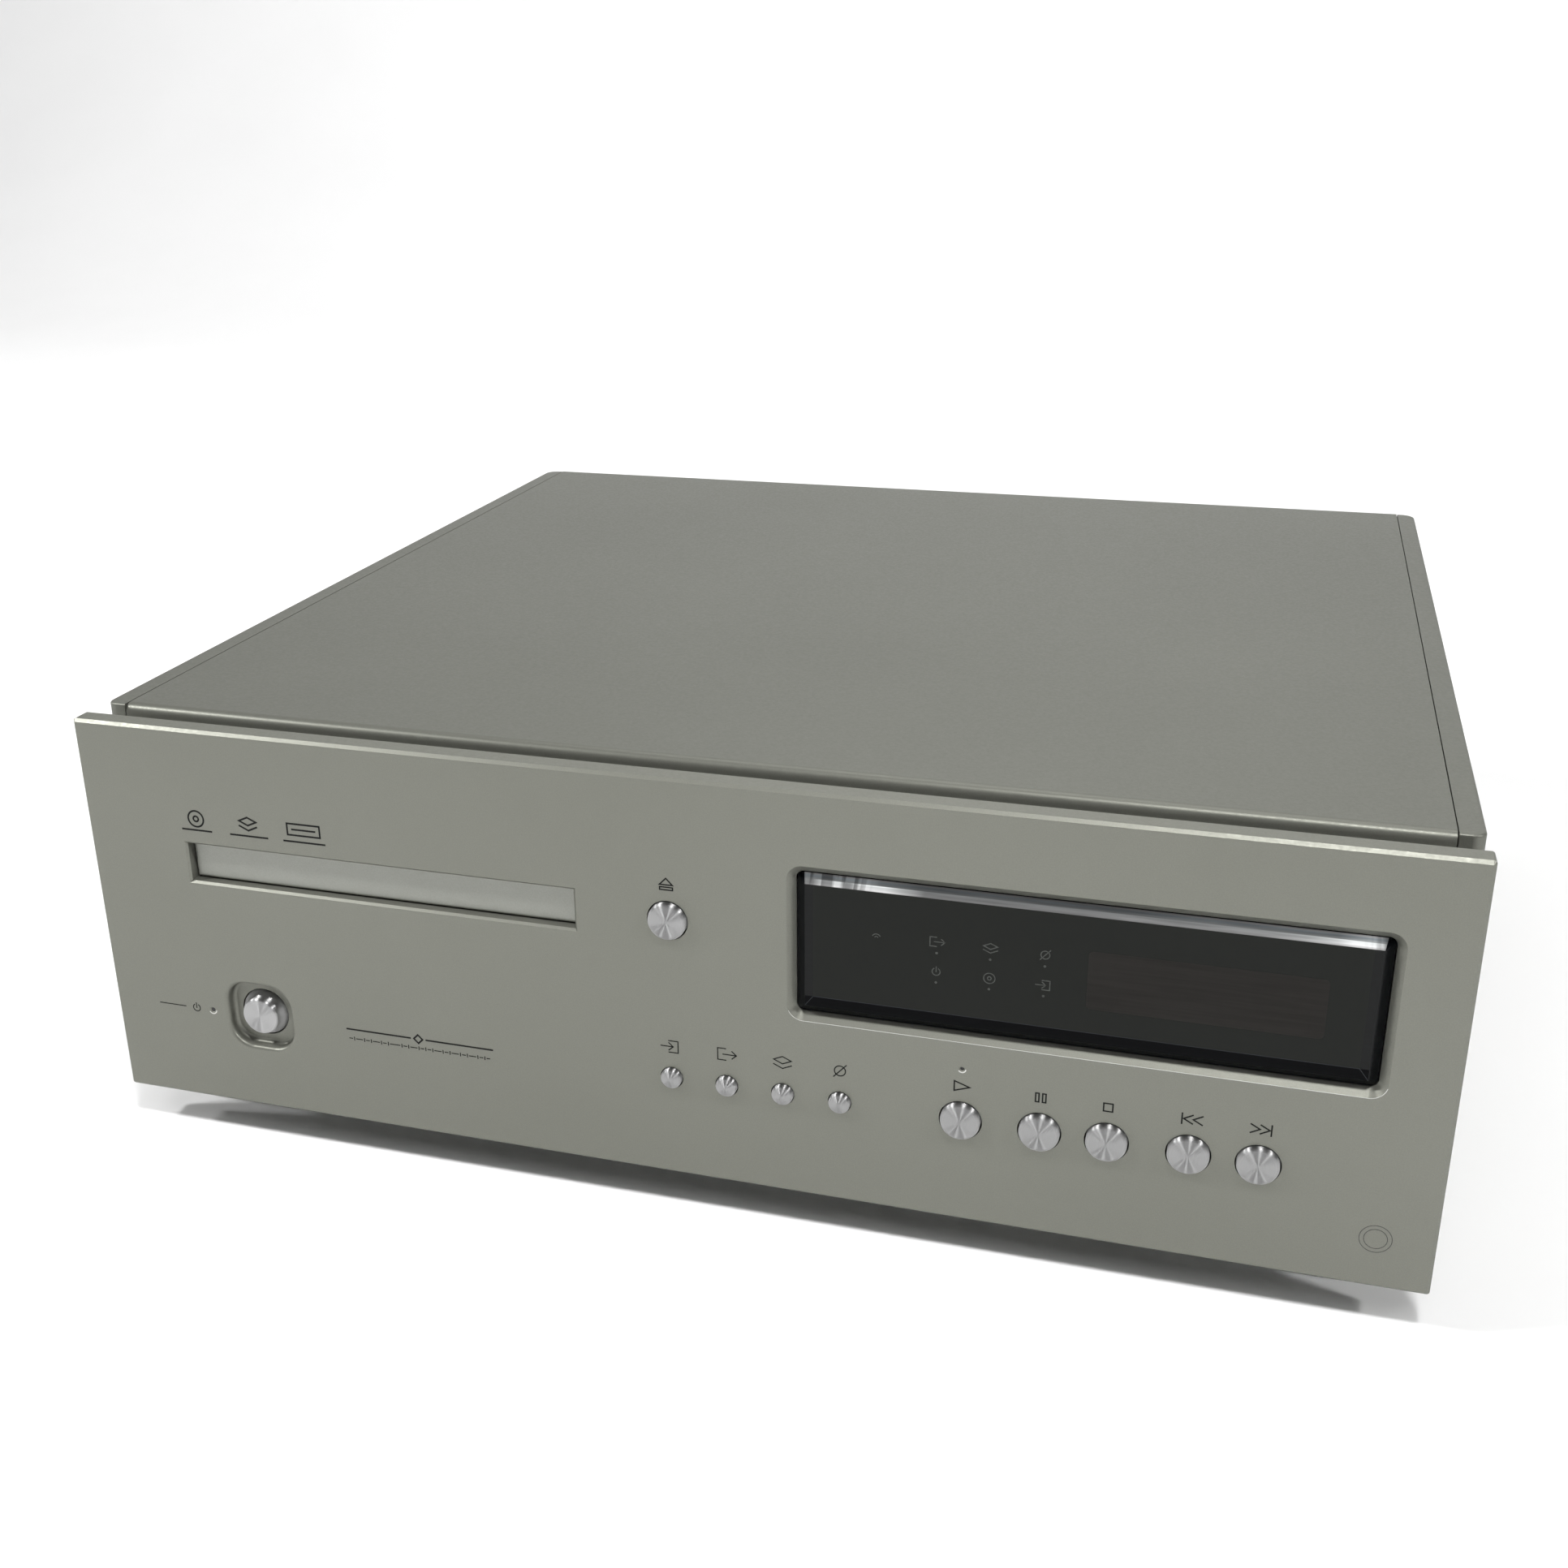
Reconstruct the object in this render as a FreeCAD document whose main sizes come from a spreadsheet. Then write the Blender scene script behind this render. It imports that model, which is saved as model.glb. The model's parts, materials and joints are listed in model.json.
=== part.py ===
import FreeCAD, Part
import math
import os
import re
import Sketcher
from FreeCAD import Placement, Rotation, Vector

# Compact disc player, in millimetres. +Z is up, the front faces -Y and +X is to the right.
# The origin is the middle of the rectangle that the player stands on.

SIZES = {
    # whole player
    "width": 440, "depth": 418, "height": 154, "foot_height": 14.25,
    "button_proud": 2.1, "socket_proud": 12.1,
    # front plate
    "panel_thick": 7.15, "panel_edge": 1.0, "panel_corner": 1.0, "groove": 9.85,
    # case
    "side_inset": 0.95, "side_thick": 7.35, "side_front_round": 3.8, "side_rear_round": 5.8,
    "cover_round": 3.2, "side_edge": 0.8, "seam": 0.35, "top_thick": 5, "rear_thick": 2, "base_thick": 3,
    "sub_thick": 2, "gap": 0.3, "fit": 0.05,
    # disc slot and tray
    "disc_radius": 60, "well_gap": 1, "well_deep": 4.5, "small_well_radius": 41.5, "small_well_deep": 1.2,
    "slot_left": 37.5, "slot_tall": 13.7, "slot_low": 85.2, "slot_edge": 0.75,
    "tray_gap": 0.4, "fascia_sink": 3.3, "fascia_thick": 5.6, "fascia_edge": 0.9,
    "tray_side_wall": 5, "tray_front_wall": 7.1, "tray_tail": 40.9, "tray_thick": 9, "tray_rise": 1.15,
    "rail_wide": 3, "rail_thick": 2, "rail_high": 2, "rail_play": 0.25, "window_wide": 44,
    # loader
    "loader_wall": 9.4, "loader_floor": 3, "loader_drop": 32, "lift": 7.8,
    "gear_module": 1, "gear_teeth": 18, "gear_thick": 4, "gear_high": 4.6, "backlash": 0.12,
    "pulley_radius": 14, "motor_pulley_radius": 4, "belt_thick": 1.2, "post_radius": 2,
    "motor_outward": 9, "motor_behind": 39, "ear_wide": 18,
    "clamp_radius": 13, "clamp_flange": 17, "bridge_thick": 2.1,
    # pickup
    "rod_radius": 2, "rod_spread": 33, "screw_offset": 42, "post_spread": 51,
    "hub_radius": 15, "cone_radius": 7.3, "motor_radius": 14, "shaft_radius": 1.5,
    # display
    "display_wide": 175.6, "display_tall": 52.4, "display_right": 19.1, "display_top": 23.85,
    "display_bevel": 2.5, "display_corner": 2.5, "window_edge": 2.9, "window_deep": 2.5,
    "window_thick": 6.5, "holder_wall": 2.5, "holder_deep": 12,
    # buttons
    "large_radius": 6.2, "small_radius": 3.45, "hole_gap": 0.5, "small_gap": 0.35, "large_proud": 1.75,
    "button_flange": 1.3, "flange_thick": 1.2, "large_travel": 1.0, "small_travel": 0.8,
    "eject_beside": 31.05, "eject_height": 92.35, "row_height": 36.3,
    "small_pitch": 18.45, "small_first": 0.25, "switch_tall": 2.6,
    "next_right": 51.7, "skip_pitch": 20.0, "stop_pitch": 23.9, "pause_pitch": 20.1, "play_pitch": 24.1,
    # recessed power button and indicator lights
    "power_left": 56.9, "power_height": 35.9, "dish_size": 24.2, "dish_corner": 8, "dish_deep": 4,
    "dish_round": 1.4, "power_radius": 8.3, "power_face": 6.7, "power_travel": 1.5,
    "light_left": 38.5, "light_radius": 1.1, "light_edge": 0.3,
    "play_light_radius": 0.9, "play_light_height": 54.3,
    # feet
    "foot_radius": 30, "foot_side": 55, "foot_front": 52, "foot_rear": 58,
    "screw_radius": 2, "head_radius": 4, "head_tall": 2.6,
    # electronics
    "board_thick": 1.6, "board_high": 8, "post_size": 3,
    "transformer_radius": 52, "transformer_tall": 56, "transformer_pad": 3, "transformer_right": 92,
    "can_radius": 11, "can_tall": 42, "can_pitch": 27,
    # rear sockets
    "socket_height": 92, "inlet_height": 52, "inlet_right": 56,
    "balanced_left": 40, "balanced_pitch": 35, "line_left": 112, "line_pitch": 30,
    "digital_left": 190, "digital_pitch": 20,
}

FACE = "(button_proud - depth / 2)"
PANEL_BACK = f"({FACE} + panel_thick)"
COVER_FRONT = f"({PANEL_BACK} + groove)"
REAR = "(depth / 2 - socket_proud)"
REAR_INSIDE = f"({REAR} - rear_thick)"
INSIDE_X = "(width / 2 - side_inset - side_thick)"
PANEL_TALL = "(height - foot_height)"
FLOOR = "(foot_height + base_thick)"

TRAY_HALF = "(disc_radius + well_gap + tray_side_wall)"
SLOT_WIDE = f"(2 * ({TRAY_HALF} + rail_wide + rail_play))"
MECH_X = f"(slot_left + {SLOT_WIDE} / 2 - width / 2)"
TRAY_LOW = "(foot_height + slot_low + tray_gap + tray_rise)"
TRAY_TOP = f"({TRAY_LOW} + tray_thick)"
TRAY_FRONT = f"({FACE} + fascia_sink + fascia_thick)"
SPINDLE_Y = f"({TRAY_FRONT} + tray_front_wall + disc_radius + well_gap)"
TRAY_BACK = f"({SPINDLE_Y} + disc_radius + well_gap + tray_tail)"
RAIL_LOW = f"({TRAY_LOW} + rail_high)"
LOADER_LOW = f"({TRAY_LOW} - loader_drop)"
LOADER_BACK = f"({TRAY_BACK} + 8)"
PLATE_LOW = f"({LOADER_LOW} + loader_floor + 6)"
GEAR_PITCH = "(gear_module * gear_teeth / 2)"
RACK_X = f"({MECH_X} - {TRAY_HALF} - rail_wide / 2)"
GEAR_X = f"({RACK_X} - {GEAR_PITCH})"
GEAR_Y = f"({SPINDLE_Y} - 40)"
GEAR_LOW = f"({TRAY_LOW} + gear_high)"
MOTOR_X = f"({GEAR_X} - motor_outward)"
MOTOR_Y = f"({GEAR_Y} + motor_behind)"
LOADER_HALF = f"({TRAY_HALF} + gap + loader_wall)"
PULLEY_LOW = f"({TRAY_LOW} - 13)"
ROD_Z = f"({PLATE_LOW} + 8.5)"

DISPLAY_X = "(width / 2 - display_right - display_wide / 2)"
DISPLAY_Z = "(height - display_top - display_tall / 2)"
EJECT_X = f"(slot_left + {SLOT_WIDE} + eject_beside - width / 2)"
POWER_X = "(power_left - width / 2)"
NEXT_X = "(width / 2 - next_right)"
PREVIOUS_X = f"({NEXT_X} - skip_pitch)"
STOP_X = f"({PREVIOUS_X} - stop_pitch)"
PAUSE_X = f"({STOP_X} - pause_pitch)"
PLAY_X = f"({PAUSE_X} - play_pitch)"
SMALL_X = f"({EJECT_X} - small_first)"
BOARD_Y = f"({COVER_FRONT} - sub_thick - gap - board_thick)"
SWITCH_Y = f"({BOARD_Y} - switch_tall)"

SMALL_BUTTONS = ["input_button", "output_button", "layer_button", "phase_button"]
LARGE_BUTTONS = {"play_button": PLAY_X, "pause_button": PAUSE_X, "stop_button": STOP_X,
                 "previous_button": PREVIOUS_X, "next_button": NEXT_X}

doc = FreeCAD.newDocument("cd_player")
sheet = doc.addObject("Spreadsheet::Sheet", "Sizes")
for row, (alias, value) in enumerate(SIZES.items(), start=1):
    sheet.set(f"A{row}", alias)
    sheet.set(f"B{row}", str(value))
    sheet.setAlias(f"B{row}", alias)
doc.recompute()

nodes = {}


# ---- helpers ----

def cells(text):
    """An expression in which each named size refers to its cell in the sheet."""
    return re.sub(r"[a-z_]+", lambda word: "Sizes." + word[0] if word[0] in SIZES else word[0], str(text))


def bind(thing, path, text):
    thing.setExpression(path, cells(text))


def place(thing, x, y, z, turn=None):
    thing.Placement = Placement(Vector(), turn or Rotation())
    for axis, text in zip("xyz", (x, y, z)):
        bind(thing, f"Placement.Base.{axis}", text)
    return thing


def node(name, thing):
    thing.Label = name
    nodes[name] = thing
    return thing


def box(x0, x1, y0, y1, z0, z1):
    """A block between two corners."""
    block = doc.addObject("Part::Box", "block")
    for path, low, high in (("Length", x0, x1), ("Width", y0, y1), ("Height", z0, z1)):
        bind(block, path, f"({high}) - ({low})")
    return place(block, x0, y0, z0)


def centred(x, dx, y, dy, z, dz):
    """A block centred on x and y, standing on z."""
    return box(f"{x} - {dx} / 2", f"{x} + {dx} / 2", f"{y} - {dy} / 2", f"{y} + {dy} / 2", z, f"{z} + {dz}")


TURNS = {"x": Rotation(Vector(0, 1, 0), 90), "y": Rotation(Vector(1, 0, 0), -90), "z": Rotation()}


def rod(axis, x, y, z, radius, length):
    """A cylinder that starts at a point and runs along +axis."""
    pin = doc.addObject("Part::Cylinder", "rod")
    bind(pin, "Radius", radius)
    bind(pin, "Height", length)
    return place(pin, x, y, z, TURNS[axis])


def join(*things):
    fused = doc.addObject("Part::MultiFuse", "joined")
    fused.Shapes = list(things)
    return fused


def group(*things):
    """Separate solids that share one node."""
    together = doc.addObject("Part::Compound", "group")
    together.Links = list(things)
    return together


def cut(base, *tools):
    taken = doc.addObject("Part::Cut", "cut")
    taken.Base = base
    taken.Tool = tools[0] if len(tools) == 1 else join(*tools)
    return taken


def body(name):
    return doc.addObject("PartDesign::Body", name)


def sketch(owner, role, offset="0"):
    """A sketch on one of the body's own planes, moved along the plane's normal."""
    drawing = owner.newObject("Sketcher::SketchObject", "outline")
    plane = next(item for item in owner.Origin.OriginFeatures if item.Role == role)
    drawing.AttachmentSupport = [(plane, "")]
    drawing.MapMode = "FlatFace"
    bind(drawing, "AttachmentOffset.Base.z", offset)
    return drawing


def fix_point(drawing, curve, end, x, y):
    """Hold one point of a curve at a place given by two expressions."""
    for kind, text in (("DistanceX", x), ("DistanceY", y)):
        index = drawing.addConstraint(Sketcher.Constraint(kind, -1, 1, curve, end, 1.0 + curve))
        bind(drawing, f"Constraints[{index}]", text)


def polygon(drawing, points):
    """A closed outline of straight lines; each point is a pair of expressions."""
    first = drawing.GeometryCount
    count = len(points)
    for step in range(count):
        angle, after = (2 * math.pi * turn / count for turn in (step, step + 1))
        start = Vector(9 * math.cos(angle), 9 * math.sin(angle), 0)
        end = Vector(9 * math.cos(after), 9 * math.sin(after), 0)
        drawing.addGeometry(Part.LineSegment(start, end), False)
    for step in range(count):
        follower = first + (step + 1) % count
        drawing.addConstraint(Sketcher.Constraint("Coincident", first + step, 2, follower, 1))
    for step, (x, y) in enumerate(points):
        fix_point(drawing, first + step, 1, x, y)


def rectangle(drawing, x0, x1, y0, y1):
    polygon(drawing, [(x0, y0), (x1, y0), (x1, y1), (x0, y1)])


def circle(drawing, x, y, radius):
    curve = drawing.addGeometry(Part.Circle(Vector(1, 1, 0), Vector(0, 0, 1), 1), False)
    fix_point(drawing, curve, 3, x, y)
    index = drawing.addConstraint(Sketcher.Constraint("Radius", curve, 1.0))
    bind(drawing, f"Constraints[{index}]", radius)


def pad(owner, drawing, length):
    feature = owner.newObject("PartDesign::Pad", "pad")
    feature.Profile = drawing
    bind(feature, "Length", length)
    doc.recompute()
    return feature


def pocket(owner, drawing, deep=None, back=False):
    """A cut through the whole body, or as deep as is given."""
    before = owner.Shape.Volume
    feature = owner.newObject("PartDesign::Pocket", "pocket")
    feature.Profile = drawing
    feature.Reversed = back
    if deep is None:
        feature.Type = "ThroughAll"
    else:
        bind(feature, "Length", deep)
    doc.recompute()
    if owner.Shape.Volume > before - 1e-3:
        raise RuntimeError(f"{feature.Label} cuts nothing")
    return feature


def dress(kind, owner, size, wanted):
    """A fillet or a chamfer on the edges that a test picks out."""
    base = owner.Tip
    names = [f"Edge{index}" for index, edge in enumerate(base.Shape.Edges, start=1) if wanted(edge.BoundBox)]
    feature = owner.newObject("PartDesign::" + kind, kind.lower())
    feature.Base = (base, names)
    bind(feature, "Radius" if kind == "Fillet" else "Size", size)
    doc.recompute()
    return feature


def along(bounds, axis):
    """True for a straight edge that runs along one axis."""
    spans = {"x": bounds.XLength, "y": bounds.YLength, "z": bounds.ZLength}
    own = spans.pop(axis)
    return own > 1e-3 and max(spans.values()) < 1e-5


def near(value, target, slack=0.01):
    return abs(value - target) < slack


def turned(name, points, x, y, z, axis="y"):
    """A solid of revolution. Each point is (radius, distance along the axis)."""
    owner = body(name)
    drawing = sketch(owner, "XY_Plane")
    polygon(drawing, points)
    feature = owner.newObject("PartDesign::Revolution", "turning")
    feature.Profile = drawing
    feature.ReferenceAxis = (drawing, ["V_Axis"])
    feature.Angle = 360
    doc.recompute()
    if axis == "z":
        place(owner, x, y, z, Rotation(Vector(1, 0, 0), 90))
    else:
        place(owner, x, y, z)
    return owner


# ---- front plate ----

def panel_openings(panel):
    """The disc slot, the display opening and every round hole."""
    drawing = sketch(panel, "XZ_Plane")
    rectangle(drawing, "slot_left - width / 2", f"slot_left + {SLOT_WIDE} - width / 2",
              "slot_low", "slot_low + slot_tall")
    half_wide, half_tall = "(display_wide / 2 - display_bevel)", "(display_tall / 2 - display_bevel)"
    middle = f"({DISPLAY_Z} - foot_height)"
    rectangle(drawing, f"{DISPLAY_X} - {half_wide}", f"{DISPLAY_X} + {half_wide}",
              f"{middle} - {half_tall}", f"{middle} + {half_tall}")
    circle(drawing, EJECT_X, "eject_height", "large_radius + hole_gap")
    for x in LARGE_BUTTONS.values():
        circle(drawing, x, "row_height", "large_radius + hole_gap")
    for step in range(len(SMALL_BUTTONS)):
        circle(drawing, f"{SMALL_X} + {step} * small_pitch", "row_height", "small_radius + small_gap")
    circle(drawing, "light_left - width / 2", "power_height", "light_radius - light_edge")
    circle(drawing, PLAY_X, "play_light_height", "play_light_radius - light_edge")
    pocket(panel, drawing, back=True)


def power_dish(panel, front):
    """The soft-edged hollow round the power button, and the button's hole in its floor."""
    drawing = sketch(panel, "XZ_Plane", "panel_thick")
    rectangle(drawing, f"{POWER_X} - dish_size / 2", f"{POWER_X} + dish_size / 2",
              "power_height - dish_size / 2", "power_height + dish_size / 2")
    pocket(panel, drawing, "dish_deep")
    low = SIZES["power_left"] - SIZES["width"] / 2 - SIZES["dish_size"] / 2
    high = low + SIZES["dish_size"]
    floor = front + SIZES["dish_deep"]
    dress("Fillet", panel, "dish_corner",
          lambda edge: along(edge, "y") and (near(edge.XMin, low) or near(edge.XMin, high)))
    dress("Fillet", panel, "dish_round", lambda edge: near(edge.YMin, edge.YMax)
          and (near(edge.YMin, front) or near(edge.YMin, floor))
          and edge.XMin > low - 0.1 and edge.XMax < high + 0.1)
    drawing = sketch(panel, "XZ_Plane")
    circle(drawing, POWER_X, "power_height", "power_radius + hole_gap")
    pocket(panel, drawing, back=True)


def front_panel():
    panel = body("front_panel")
    drawing = sketch(panel, "XZ_Plane")
    rectangle(drawing, "-width / 2", "width / 2", "0", PANEL_TALL)
    pad(panel, drawing, "panel_thick")
    front = -SIZES["panel_thick"]

    def at_front(edge):
        return near(edge.YMin, front) and near(edge.YMax, front)

    dress("Fillet", panel, "panel_corner", lambda edge: along(edge, "y"))
    dress("Chamfer", panel, "panel_edge", at_front)
    panel_openings(panel)
    right = SIZES["width"] / 2 - SIZES["display_right"]
    left = right - SIZES["display_wide"]
    bevel = SIZES["display_bevel"]
    top = SIZES["height"] - SIZES["foot_height"] - SIZES["display_top"]
    low = top - SIZES["display_tall"]
    dress("Fillet", panel, "display_corner", lambda edge: along(edge, "y")
          and (near(edge.XMin, left + bevel) or near(edge.XMin, right - bevel)))
    dress("Chamfer", panel, "display_bevel", lambda edge: at_front(edge)
          and left < edge.XMin and edge.XMax < right and low < edge.ZMin and edge.ZMax < top)
    power_dish(panel, front)
    light = 2 * SIZES["light_radius"]
    dress("Chamfer", panel, "light_edge", lambda edge: at_front(edge) and edge.XLength < light
          and edge.ZLength < light and edge.XLength > 1e-3 and near(edge.XLength, edge.ZLength))
    slot_low, slot_left = SIZES["slot_low"], SIZES["slot_left"] - SIZES["width"] / 2
    slot_high, slot_right = slot_low + SIZES["slot_tall"], slot_left + where(SLOT_WIDE)
    dress("Chamfer", panel, "slot_edge", lambda edge: at_front(edge)
          and slot_left - 0.01 < edge.XMin and edge.XMax < slot_right + 0.01
          and slot_low - 0.01 < edge.ZMin and edge.ZMax < slot_high + 0.01)
    place(panel, "0", PANEL_BACK, "foot_height")
    node("front_panel", panel)


def inner_front():
    """The plate that the case's front edge stands on, with spacers that hold the front plate off it."""
    plate = box(f"-{INSIDE_X}", INSIDE_X, f"{COVER_FRONT} - sub_thick", COVER_FRONT,
                "foot_height", "height - top_thick - gap")
    tray_hole = box(f"{MECH_X} - {SLOT_WIDE} / 2 - 1", f"{MECH_X} + {SLOT_WIDE} / 2 + 1",
                    f"{COVER_FRONT} - sub_thick - 1", f"{COVER_FRONT} + 1",
                    f"{TRAY_LOW} - 8", f"{TRAY_TOP} + 8")
    display_hole = box(f"{DISPLAY_X} - display_wide / 2 - 3", f"{DISPLAY_X} + display_wide / 2 + 3",
                       f"{COVER_FRONT} - sub_thick - 1", f"{COVER_FRONT} + 1",
                       f"{DISPLAY_Z} - display_tall / 2 - 3", f"{DISPLAY_Z} + display_tall / 2 + 3")
    node("sub_front", cut(plate, tray_hole, display_hole))
    spacers = []
    for x in (f"(9 - {INSIDE_X})", EJECT_X, f"({INSIDE_X} - 6)"):
        for z in ("(foot_height + 12)", "(height - 14)"):
            spacers.append(rod("y", x, PANEL_BACK, z, "3.5", "groove - sub_thick"))
    node("panel_spacers", group(*spacers))


# ---- case ----

def side_panel(name, side):
    """A thick plate with rounded upright corners. side is -1 for the left and 1 for the right."""
    plate = body(name)
    drawing = sketch(plate, "XY_Plane")
    inner, outer = ("0", f"{side} * side_thick")
    rectangle(drawing, *((inner, outer) if side > 0 else (outer, inner)), COVER_FRONT, REAR)
    pad(plate, drawing, PANEL_TALL)
    reach = side * SIZES["side_thick"]
    front = SIZES["button_proud"] - SIZES["depth"] / 2 + SIZES["panel_thick"] + SIZES["groove"]
    rear = SIZES["depth"] / 2 - SIZES["socket_proud"]
    dress("Fillet", plate, "side_front_round",
          lambda edge: along(edge, "z") and near(edge.XMin, reach) and near(edge.YMin, front))
    dress("Fillet", plate, "side_rear_round",
          lambda edge: along(edge, "z") and near(edge.XMin, reach) and near(edge.YMin, rear))
    top = SIZES["height"] - SIZES["foot_height"]
    dress("Fillet", plate, "side_edge", lambda edge: near(edge.ZMin, top) and near(edge.ZMax, top)
          and not (along(edge, "y") and near(edge.XMin, 0)))
    place(plate, f"{side} * {INSIDE_X}", "0", "foot_height")
    node(name, plate)


def top_plate():
    plate = body("top_plate")
    drawing = sketch(plate, "XY_Plane")
    rectangle(drawing, f"seam - {INSIDE_X}", f"{INSIDE_X} - seam", COVER_FRONT, REAR)
    pad(plate, drawing, "top_thick")
    top, front = SIZES["top_thick"], plate.Shape.BoundBox.YMin
    dress("Fillet", plate, "cover_round",
          lambda edge: near(edge.ZMin, top) and near(edge.YMin, front) and near(edge.YMax, front))
    place(plate, "0", "0", "height - top_thick")
    node("top_plate", plate)


def base_plate():
    plate = body("base_plate")
    drawing = sketch(plate, "XY_Plane")
    rectangle(drawing, f"-{INSIDE_X}", INSIDE_X, COVER_FRONT, REAR_INSIDE)
    pad(plate, drawing, "base_thick")
    drawing = sketch(plate, "XY_Plane", "base_thick")
    for x, y in foot_places():
        circle(drawing, x, y, "screw_radius + fit")
    for step in range(6):
        x = f"({INSIDE_X} - 105 - {step} * 9)"
        for y in (f"({REAR_INSIDE} - 40)", f"({REAR_INSIDE} - 60)"):
            rectangle(drawing, f"{x} - 2", f"{x} + 2", f"{y} - 7", f"{y} + 7")
    pocket(plate, drawing)
    place(plate, "0", "0", "foot_height")
    node("base_plate", plate)


def foot_places():
    return [(f"{side} * (width / 2 - foot_side)", y)
            for y in (f"({COVER_FRONT} + foot_front)", f"({REAR} - foot_rear)") for side in (-1, 1)]


def feet():
    names = ["foot_front_left", "foot_front_right", "foot_rear_left", "foot_rear_right"]
    profile = [("screw_radius + fit", "5"), ("head_radius + 4", "5"), ("head_radius + 4", "0"),
               ("foot_radius - 4", "0"), ("foot_radius - 3", "1"), ("foot_radius - 3", "3"),
               ("foot_radius", "4.5"), ("foot_radius", "foot_height - 1"),
               ("foot_radius - 1", "foot_height"), ("screw_radius + fit", "foot_height")]
    screws = []
    for name, (x, y) in zip(names, foot_places()):
        node(name, turned(name, [(radius, f"{z}") for radius, z in profile], x, y, "0", axis="z"))
        head = rod("z", x, y, "5 - head_tall", "head_radius", "head_tall")
        screws.append(join(head, rod("z", x, y, "5", "screw_radius", f"{FLOOR} - 5 + 2")))
    node("foot_screws", group(*screws))


# ---- rear panel and its sockets ----

BALANCED = [f"(balanced_left + {step} * balanced_pitch - width / 2)" for step in range(2)]
LINE = [f"(line_left + {step} * line_pitch - width / 2)" for step in range(2)]
DIGITAL = [f"(digital_left + {step} * digital_pitch - width / 2)" for step in range(4)]
INLET_X = "(width / 2 - inlet_right)"


def case_screw_places():
    low, high = "(foot_height + 7)", "(height - top_thick - 6)"
    return [(x, z) for x in (f"(8 - {INSIDE_X})", "(-width / 6)", "(width / 6)", f"({INSIDE_X} - 8)")
            for z in (low, high)]


def rear_panel():
    panel = body("rear_panel")
    drawing = sketch(panel, "XZ_Plane")
    rectangle(drawing, f"-{INSIDE_X}", INSIDE_X, "foot_height", "height - top_thick")
    pad(panel, drawing, "rear_thick")
    drawing = sketch(panel, "XZ_Plane")
    for x in BALANCED:
        circle(drawing, x, "socket_height", "11.3")
    for x in LINE:
        circle(drawing, x, "socket_height", "5.2")
    for x in DIGITAL[:2]:
        circle(drawing, x, "socket_height", "5.2")
    for x in DIGITAL[2:]:
        rectangle(drawing, f"{x} - 6.6", f"{x} + 6.6", "socket_height - 6.1", "socket_height + 6.1")
    rectangle(drawing, f"{INLET_X} - 14.2", f"{INLET_X} + 14.2",
              "inlet_height - 12.2", "inlet_height + 12.2")
    for x, z in case_screw_places():
        circle(drawing, x, z, "1.6")
    pocket(panel, drawing, back=True)
    place(panel, "0", REAR, "0")
    node("rear_panel", panel)
    screws = [join(rod("y", x, f"{REAR_INSIDE} - 4", z, "1.5", "rear_thick + 4"),
                   rod("y", x, REAR, z, "2.9", "1.8")) for x, z in case_screw_places()]
    node("case_screws", group(*screws))


def phono_jack(x, long):
    """A round jack: collar on the panel, barrel outside with its bore, insulated body inside."""
    solid = join(rod("y", x, REAR, "socket_height", "7", "2.5"),
                 rod("y", x, REAR, "socket_height", "4.15", long),
                 rod("y", x, f"{REAR_INSIDE} - 9", "socket_height", "5", "rear_thick + 10"))
    return cut(solid, rod("y", x, f"{REAR} + {long} - 8", "socket_height", "1.7", "9"))


def rear_sockets():
    node("line_jacks", group(*[phono_jack(x, "socket_proud") for x in LINE]))
    balanced = []
    for x in BALANCED:
        flange = centred(x, "26", f"({REAR} + 1)", "2", "(socket_height - 15.5)", "31")
        shell = join(flange, rod("y", x, f"{REAR_INSIDE} - 16", "socket_height", "11", "rear_thick + 17"))
        shell = cut(shell, rod("y", x, f"{REAR_INSIDE} - 11", "socket_height", "9.4", "rear_thick + 14"))
        pins = [rod("y", f"({x} + {dx})", f"{REAR_INSIDE} - 12", f"(socket_height + {dz})", "1.2", "11")
                for dx, dz in ((-3.4, 1.6), (3.4, 1.6), (0, -3.6))]
        balanced.append(join(shell, *pins))
    node("balanced_sockets", group(*balanced))
    optical = []
    for x in DIGITAL[2:]:
        block = centred(x, "13", f"({REAR_INSIDE} - 4)", "20", "(socket_height - 6)", "12")
        optical.append(cut(block, box(f"{x} - 4.6", f"{x} + 4.6", f"{REAR_INSIDE} - 4", f"{REAR} + 9",
                                      "socket_height - 4.3", "socket_height + 4.3")))
    node("digital_sockets", group(*[phono_jack(x, "(socket_proud - 2)") for x in DIGITAL[:2]], *optical))
    flange = centred(INLET_X, "50", f"({REAR} + 1.25)", "2.5", "(inlet_height - 14)", "28")
    shell = centred(INLET_X, "28", f"({REAR_INSIDE} - 10)", "(2 * rear_thick + 22)",
                    "(inlet_height - 12)", "24")
    cavity = box(f"{INLET_X} - 12.3", f"{INLET_X} + 12.3", f"{REAR_INSIDE} - 16", f"{REAR} + 5",
                 "inlet_height - 8.3", "inlet_height + 8.3")
    blades = [centred(f"({INLET_X} + {dx})", "2", f"({REAR_INSIDE} - 9)", "18", f"(inlet_height + {dz})", "4")
              for dx, dz in ((-7, -3), (0, 0), (7, -3))]
    node("ac_inlet", join(cut(join(flange, shell), cavity), *blades))


# ---- display ----

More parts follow.
